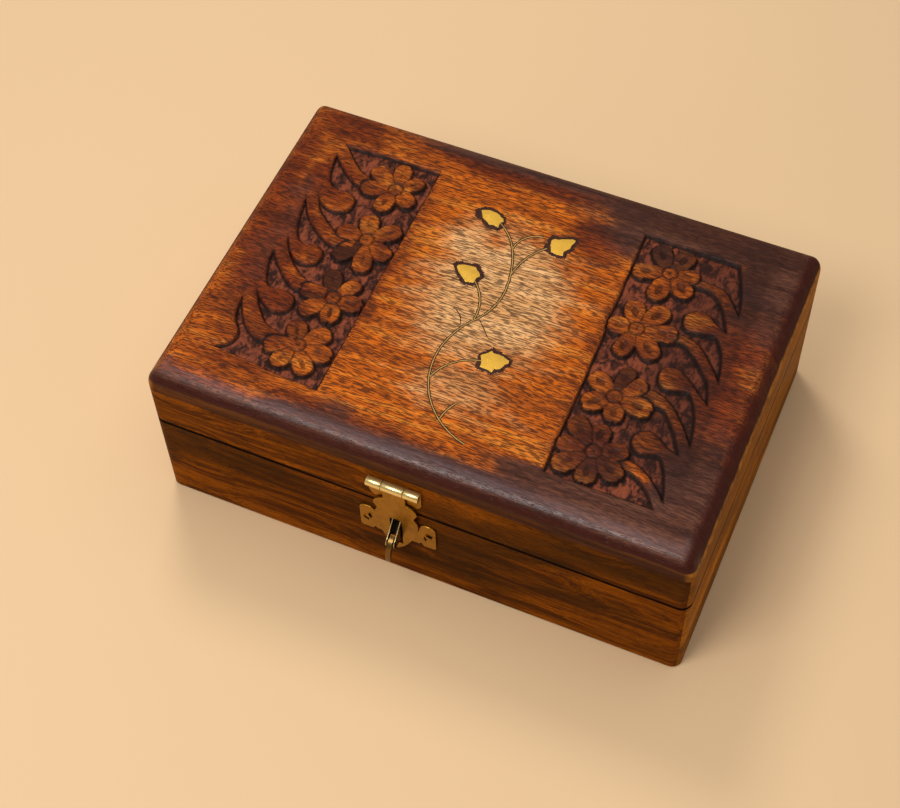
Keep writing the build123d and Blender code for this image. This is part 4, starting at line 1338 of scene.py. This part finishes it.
class KeepsakeStageOperator(bpy.types.Operator):
    """Lay the pale floor, hang the lamps and set up the camera"""

    bl_idname = "keepsake.stage"
    bl_label = "Stage"

    def execute(self, context):
        stage = context.scene.keepsake_stage
        mesh = bpy.data.meshes.new("floor")
        corners = [(x * stage.reach, y * stage.reach, 0) for x, y in ((-1, -1), (1, -1), (1, 1), (-1, 1))]
        mesh.from_pydata(corners, [], [(0, 1, 2, 3)])
        floor = self.placed(context, "floor", mesh)
        dress(floor, floor_finish(tuple(stage.floor)))
        for name, lamp in LAMPS.items():
            self.lamp(context, f"{name}_lamp", getattr(stage, name), *lamp)
        context.scene.world = bpy.data.worlds.new("studio")
        context.scene.world.use_nodes = True
        sky = context.scene.world.node_tree.nodes["Background"]
        sky.inputs["Color"].default_value = (1.0, 1.0, 1.0, 1.0)
        sky.inputs["Strength"].default_value = stage.sky
        self.camera(context, stage.lens)
        context.scene.view_settings.view_transform = "Standard"
        return {"FINISHED"}

    def placed(self, context, name, data):
        """A new object in the scene."""
        made = bpy.data.objects.new(name, data)
        context.scene.collection.objects.link(made)
        return made

    def lamp(self, context, name, power, place, aim, size, mirrored):
        """A round lamp that looks at a point over the middle of the box."""
        light = bpy.data.lights.new(name, "AREA")
        light.shape, light.size, light.energy = "DISK", size, power
        made = self.placed(context, name, light)
        made.visible_glossy = mirrored
        made.location = place
        way = mathutils.Vector((0, 0, aim)) - made.location
        made.rotation_euler = way.to_track_quat("-Z", "Y").to_euler()

    def camera(self, context, lens):
        """Looks down from the front right, turned a little about its own axis."""
        level = mathutils.Vector((-math.sin(AZIMUTH), math.cos(AZIMUTH), 0))
        ahead = math.cos(ELEVATION) * level - math.sin(ELEVATION) * mathutils.Vector((0, 0, 1))
        across = ahead.cross(mathutils.Vector((0, 0, 1))).normalized()
        upward = across.cross(ahead)
        side = math.cos(ROLL) * across + math.sin(ROLL) * upward
        top = -math.sin(ROLL) * across + math.cos(ROLL) * upward
        turn = mathutils.Matrix((side, top, -ahead)).transposed()
        data = bpy.data.cameras.new("camera")
        data.lens, data.sensor_width = lens, 36.0
        made = self.placed(context, "camera", data)
        made.matrix_world = mathutils.Matrix.Translation(CAMERA_PLACE) @ turn.to_4x4()
        context.scene.camera = made


class KeepsakeWoodworkOperator(bpy.types.Operator):
    """Stain the walls, the lid's rails and the bottom board"""

    bl_idname = "keepsake.woodwork"
    bl_label = "Walls and rails"

    def execute(self, context):
        stains = settings(context.scene.keepsake_stains)
        long_wall = (stains["wall_light"], stains["wall_dark"], stains["pore"])
        end_wall = (stains["end_light"], stains["end_dark"], stains["pore"])
        for part, kind, lean in (("base", "wall", 1.1), ("lid", "rail", 0.0)):
            front = wall_wood(f"{part}_long_wood", 0, *long_wall, 0.7, lean=lean)
            end = wall_wood(f"{part}_end_wood", 1, *end_wall, 0.25)
            for side, finish in (("front", front), ("back", front), ("left", end), ("right", end)):
                dress(f"{part}_{side}_{kind}", finish)
        dress("base_bottom_board", wall_wood("bottom_wood", 0, *end_wall, 0.7, ()))
        return {"FINISHED"}


class KeepsakeBoardOperator(bpy.types.Operator):
    """Carve the lid's board"""

    bl_idname = "keepsake.board"
    bl_label = "Carved board"

    def execute(self, context):
        shape, marks = carved_board(settings(context.scene.keepsake_carving))
        wood = carved_wood(settings(context.scene.keepsake_stains))
        piece_from("carved_lid_board", shape, "lid", "lid_top_board", wood, 88.0, marks)
        return {"FINISHED"}


class KeepsakeInlayOperator(bpy.types.Operator):
    """Lay the leaves and wires of the vine into the lid"""

    bl_idname = "keepsake.inlay"
    bl_label = "Inlaid vine"

    def execute(self, context):
        inlay = settings(context.scene.keepsake_inlay)
        stains = settings(context.scene.keepsake_stains)
        brass = metal("inlaid_brass", stains["old_brass"], (0.35, 0.5), 0.3, metallic=0.45)
        worn_wire = metal("worn_wire", stains["wire"], (0.35, 0.5), 0.6, metallic=0.4)
        filler = filler_finish(stains)
        top = BOARD_TOP
        foot = top - INLAY_DEPTH
        for seed, (name, (leaf, bed)) in enumerate(LEAVES.items()):
            middle = np.mean(leaf, axis=0)
            shape = leaf_shape(leaf, middle, LEAF_RAGGED, top + LEAF_RISE, foot, LEAF_ROUNDING, seed + 0.5)
            piece_from(f"leaf_{name}", shape, "lid", f"inlay_leaf_{name}", brass)
            levels = (top - BED_SINK, top - BED_DEPTH)
            shape = leaf_shape(bed, middle, inlay["ragged"], *levels, BED_ROUNDING, seed + 2.0)
            piece_from(f"bed_{name}", shape, "lid", f"inlay_bed_{name}", filler)
        for seed, (name, (heading, *points)) in enumerate(WIRES.items()):
            for kind, width, ragged, level, slot, finish in (
                ("wire", inlay["core"], WIRE_RAGGED, top + WIRE_RISE, "inlay_brass", worn_wire),
                ("groove", inlay["groove"], GROOVE_RAGGED, top - GROOVE_SINK * (seed + 1), "filler", filler),
            ):
                line = (heading, points, width, ragged, level, foot)
                shape = ribbon_shape(*line, seed + 0.7, RIBBON_ROUNDING)
                piece_from(f"{kind}_{name}", shape, "lid", f"inlay_wire_{name}", finish)
        for number, (heading, *points) in enumerate(SCRATCHES):
            line = (heading, points, SCRATCH_WIDTH, SCRATCH_RAGGED, top - SCRATCH_SINK, top - SCRATCH_DEPTH)
            shape = ribbon_shape(*line, number + 2.4, SCRATCH_ROUNDING)
            piece_from(f"scratch_{number}", shape, "lid", "inlay_wire_main", filler)
        return {"FINISHED"}


class KeepsakeHaspOperator(bpy.types.Operator):
    """Make the hasp, its barrel and its plate on the lid"""

    bl_idname = "keepsake.hasp"
    bl_label = "Hasp"

    def execute(self, context):
        stains = settings(context.scene.keepsake_stains)
        # The plates' edges are painted bright: wear and a painted highlight
        satin = metal("hasp_brass", stains["brass"], (0.26, 0.38), 0.55, edge=stains["worn_brass"])
        polish = {"dirt": 0.06, "grain": 0.08, "metallic": 0.85, "dents": 0.02}
        bright = metal("barrel_brass", stains["bright_brass"], (0.285, 0.3), **polish)
        shape = pressed_plate(lid_plate_outline(), 0.0, SHEET, 0.18, on_front)
        latch_piece("hasp_lid_plate_sheet", shape, "lid", "hasp_lid_plate", satin, *PLATE_RINGS)
        shape = pressed_ring(hasp_outline(), SLOT, HASP_BACK, HASP_BACK + SHEET, 0.2, on_front)
        latch_piece("hasp_swinging_leaf", shape, "hasp", "hasp_leaf", satin, *HOLED_RINGS)
        for name, (start, end, body, node) in KNUCKLES.items():
            profile = round_ended(start, end, BARREL_RADIUS, KNUCKLE_ROUNDING, KNUCKLE_DISH)
            shape = turned_bar(profile, (LATCH_X, FRONT_Y - BARREL_RADIUS, BARREL_Z), 0, 64)
            latch_piece(f"hasp_knuckle_{name}", shape, body, node, bright)
        dress("hasp_lid_nails", satin)
        dress("hasp_pin", bright)
        return {"FINISHED"}


class KeepsakeStapleOperator(bpy.types.Operator):
    """Make the staple, its nails and the hook"""

    bl_idname = "keepsake.staple"
    bl_label = "Staple and hook"

    def execute(self, context):
        stains = settings(context.scene.keepsake_stains)
        worn = stains["worn_brass"]
        # The staple's plate has painted shade behind the hasp's slot
        plate = metal("plate_brass", stains["brass"], (0.26, 0.4), 0.5, edge=worn, hollow=SLOT_SHADE_SPAN)
        satin = metal("staple_brass", stains["brass"], (0.3, 0.45))
        # The cheek's edge colour is a painted highlight, far paler than its body
        cheek = metal("cheek_brass", CHEEK, (0.25, 0.36), 0.4, edge=CHEEK_EDGE_HIGHLIGHT)
        dark = metal("hook_brass", stains["dark_brass"], (0.25, 0.36), 0.3)
        shadow = metal("nail_brass", NAIL_SLIT_SHADE, (0.4, 0.55), 0.3)
        shape = pressed_plate(staple_outline(), 0.0, SHEET, 0.2, on_front)
        latch_piece("staple_sheet", shape, "base", "staple_plate", plate, *PLATE_RINGS)
        for name, side, turns in (("left", -1, (1.15, 0.55)), ("right", 1, (0.35, 1.3))):
            low, high = sorted((side * CHEEK_NEAR, side * CHEEK_FAR))
            shape = pressed_plate(cheek_outline(), low, high, 0.12, on_side)
            latch_piece(f"bracket_cheek_{name}", shape, "base", "hook_bracket", cheek, *CHEEK_RINGS)
            middle = (LATCH_X + side * NAIL_OFFSET, FRONT_Y - SHEET, STAPLE_Z)
            shape = turned_bar(NAIL_HEAD, middle, 1, 28)
            latch_piece(f"staple_nail_{name}", shape, "base", "staple_nails", satin)
            # The legs are near black: painted shade for the nail's slits
            for end, (way, turn) in enumerate(zip((1, -1), turns)):
                across, up = NAIL_LEG_OFFSET
                spot = (side * NAIL_OFFSET + way * across, STAPLE_Z + way * up)
                shape = pressed_plate(nail_leg(spot, turn), *NAIL_LEG_LEVELS, on_front)
                latch_piece(f"nail_leg_{name}_{end}", shape, "base", "staple_nails", shadow)
        middle = (LATCH_X, FRONT_Y - PIVOT_OUT, PIVOT_Z)
        profile = round_ended(-PIVOT_HALF, PIVOT_HALF, PIVOT_RADIUS, PIVOT_ROUNDING)
        shape = turned_bar(profile, middle, 0, 24)
        latch_piece("hook_pivot_pin", shape, "base", "hook_pivot", dark)
        latch_piece("hook_bar", hook_shape(), "hook", "hook", dark)
        return {"FINISHED"}


class KeepsakeHingesOperator(bpy.types.Operator):
    """Polish the hinges and drive in their slotted screws"""

    bl_idname = "keepsake.hinges"
    bl_label = "Hinges"

    def execute(self, context):
        stains = settings(context.scene.keepsake_stains)
        brass = metal("hinge_brass", stains["brass"], (0.25, 0.4))
        bright = metal("screw_brass", stains["bright_brass"], (0.25, 0.38), 0.5)
        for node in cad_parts:
            if node.startswith("hinge_"):
                dress(node, brass)
        for body, side in (("base", 1), ("lid", -1)):
            for number, x in enumerate(SCREWS_X):
                middle = (x, SCREW_Y, SEAM_Z - side * SCREW_SINK)
                shape = slotted_head(middle, side, 0.7 + 1.9 * number + side)
                node = f"hinge_{body}_screws"
                piece_from(f"{body}_screw_{number}", shape, body, node, bright, 30.0)
        return {"FINISHED"}


class KeepsakeLiningOperator(bpy.types.Operator):
    """Line the inside with velvet-covered card"""

    bl_idname = "keepsake.lining"
    bl_label = "Velvet lining"

    def execute(self, context):
        pile = velvet_finish(settings(context.scene.keepsake_stains)["velvet"])
        for seed, (node, axis, side) in enumerate((
            ("base_floor_lining", 2, 1),
            ("base_front_lining", 1, 1),
            ("base_back_lining", 1, -1),
            ("base_left_lining", 0, 1),
            ("base_right_lining", 0, -1),
            ("lid_lining", 2, -1),
        )):
            shape = lining_panel(node, axis, side, seed + 0.3)
            piece_from(f"velvet_{node}", shape, node.split("_")[0], node, pile, 50.0)
        return {"FINISHED"}


class KeepsakePanel(bpy.types.Panel):
    """Lists every step of the box"""

    bl_idname = "VIEW3D_PT_keepsake"
    bl_label = "Keepsake Box"
    bl_space_type = "VIEW_3D"
    bl_region_type = "UI"
    bl_category = "Keepsake Box"

    def draw(self, context):
        for operator in OPERATORS:
            self.layout.operator(operator.bl_idname)
        for name, group in SETTINGS.items():
            for setting in group.__annotations__:
                self.layout.prop(getattr(context.scene, name), setting)


SETTINGS = {
    "keepsake_carving": KeepsakeCarving,
    "keepsake_inlay": KeepsakeInlay,
    "keepsake_stains": KeepsakeStains,
    "keepsake_stage": KeepsakeStage,
}
OPERATORS = (
    KeepsakeStageOperator,
    KeepsakeWoodworkOperator,
    KeepsakeBoardOperator,
    KeepsakeInlayOperator,
    KeepsakeHaspOperator,
    KeepsakeStapleOperator,
    KeepsakeHingesOperator,
    KeepsakeLiningOperator,
)


def register():
    for kind in (*SETTINGS.values(), *OPERATORS, KeepsakePanel):
        bpy.utils.register_class(kind)
    for name, group in SETTINGS.items():
        setattr(bpy.types.Scene, name, bpy.props.PointerProperty(type=group))


def unregister():
    for name in SETTINGS:
        delattr(bpy.types.Scene, name)
    for kind in (KeepsakePanel, *reversed(OPERATORS), *reversed(SETTINGS.values())):
        bpy.utils.unregister_class(kind)


def main():
    """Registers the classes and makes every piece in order."""
    register()
    for operator in OPERATORS:
        family, action = operator.bl_idname.split(".")
        getattr(getattr(bpy.ops, family), action)()


if __name__ == "__main__":
    main()
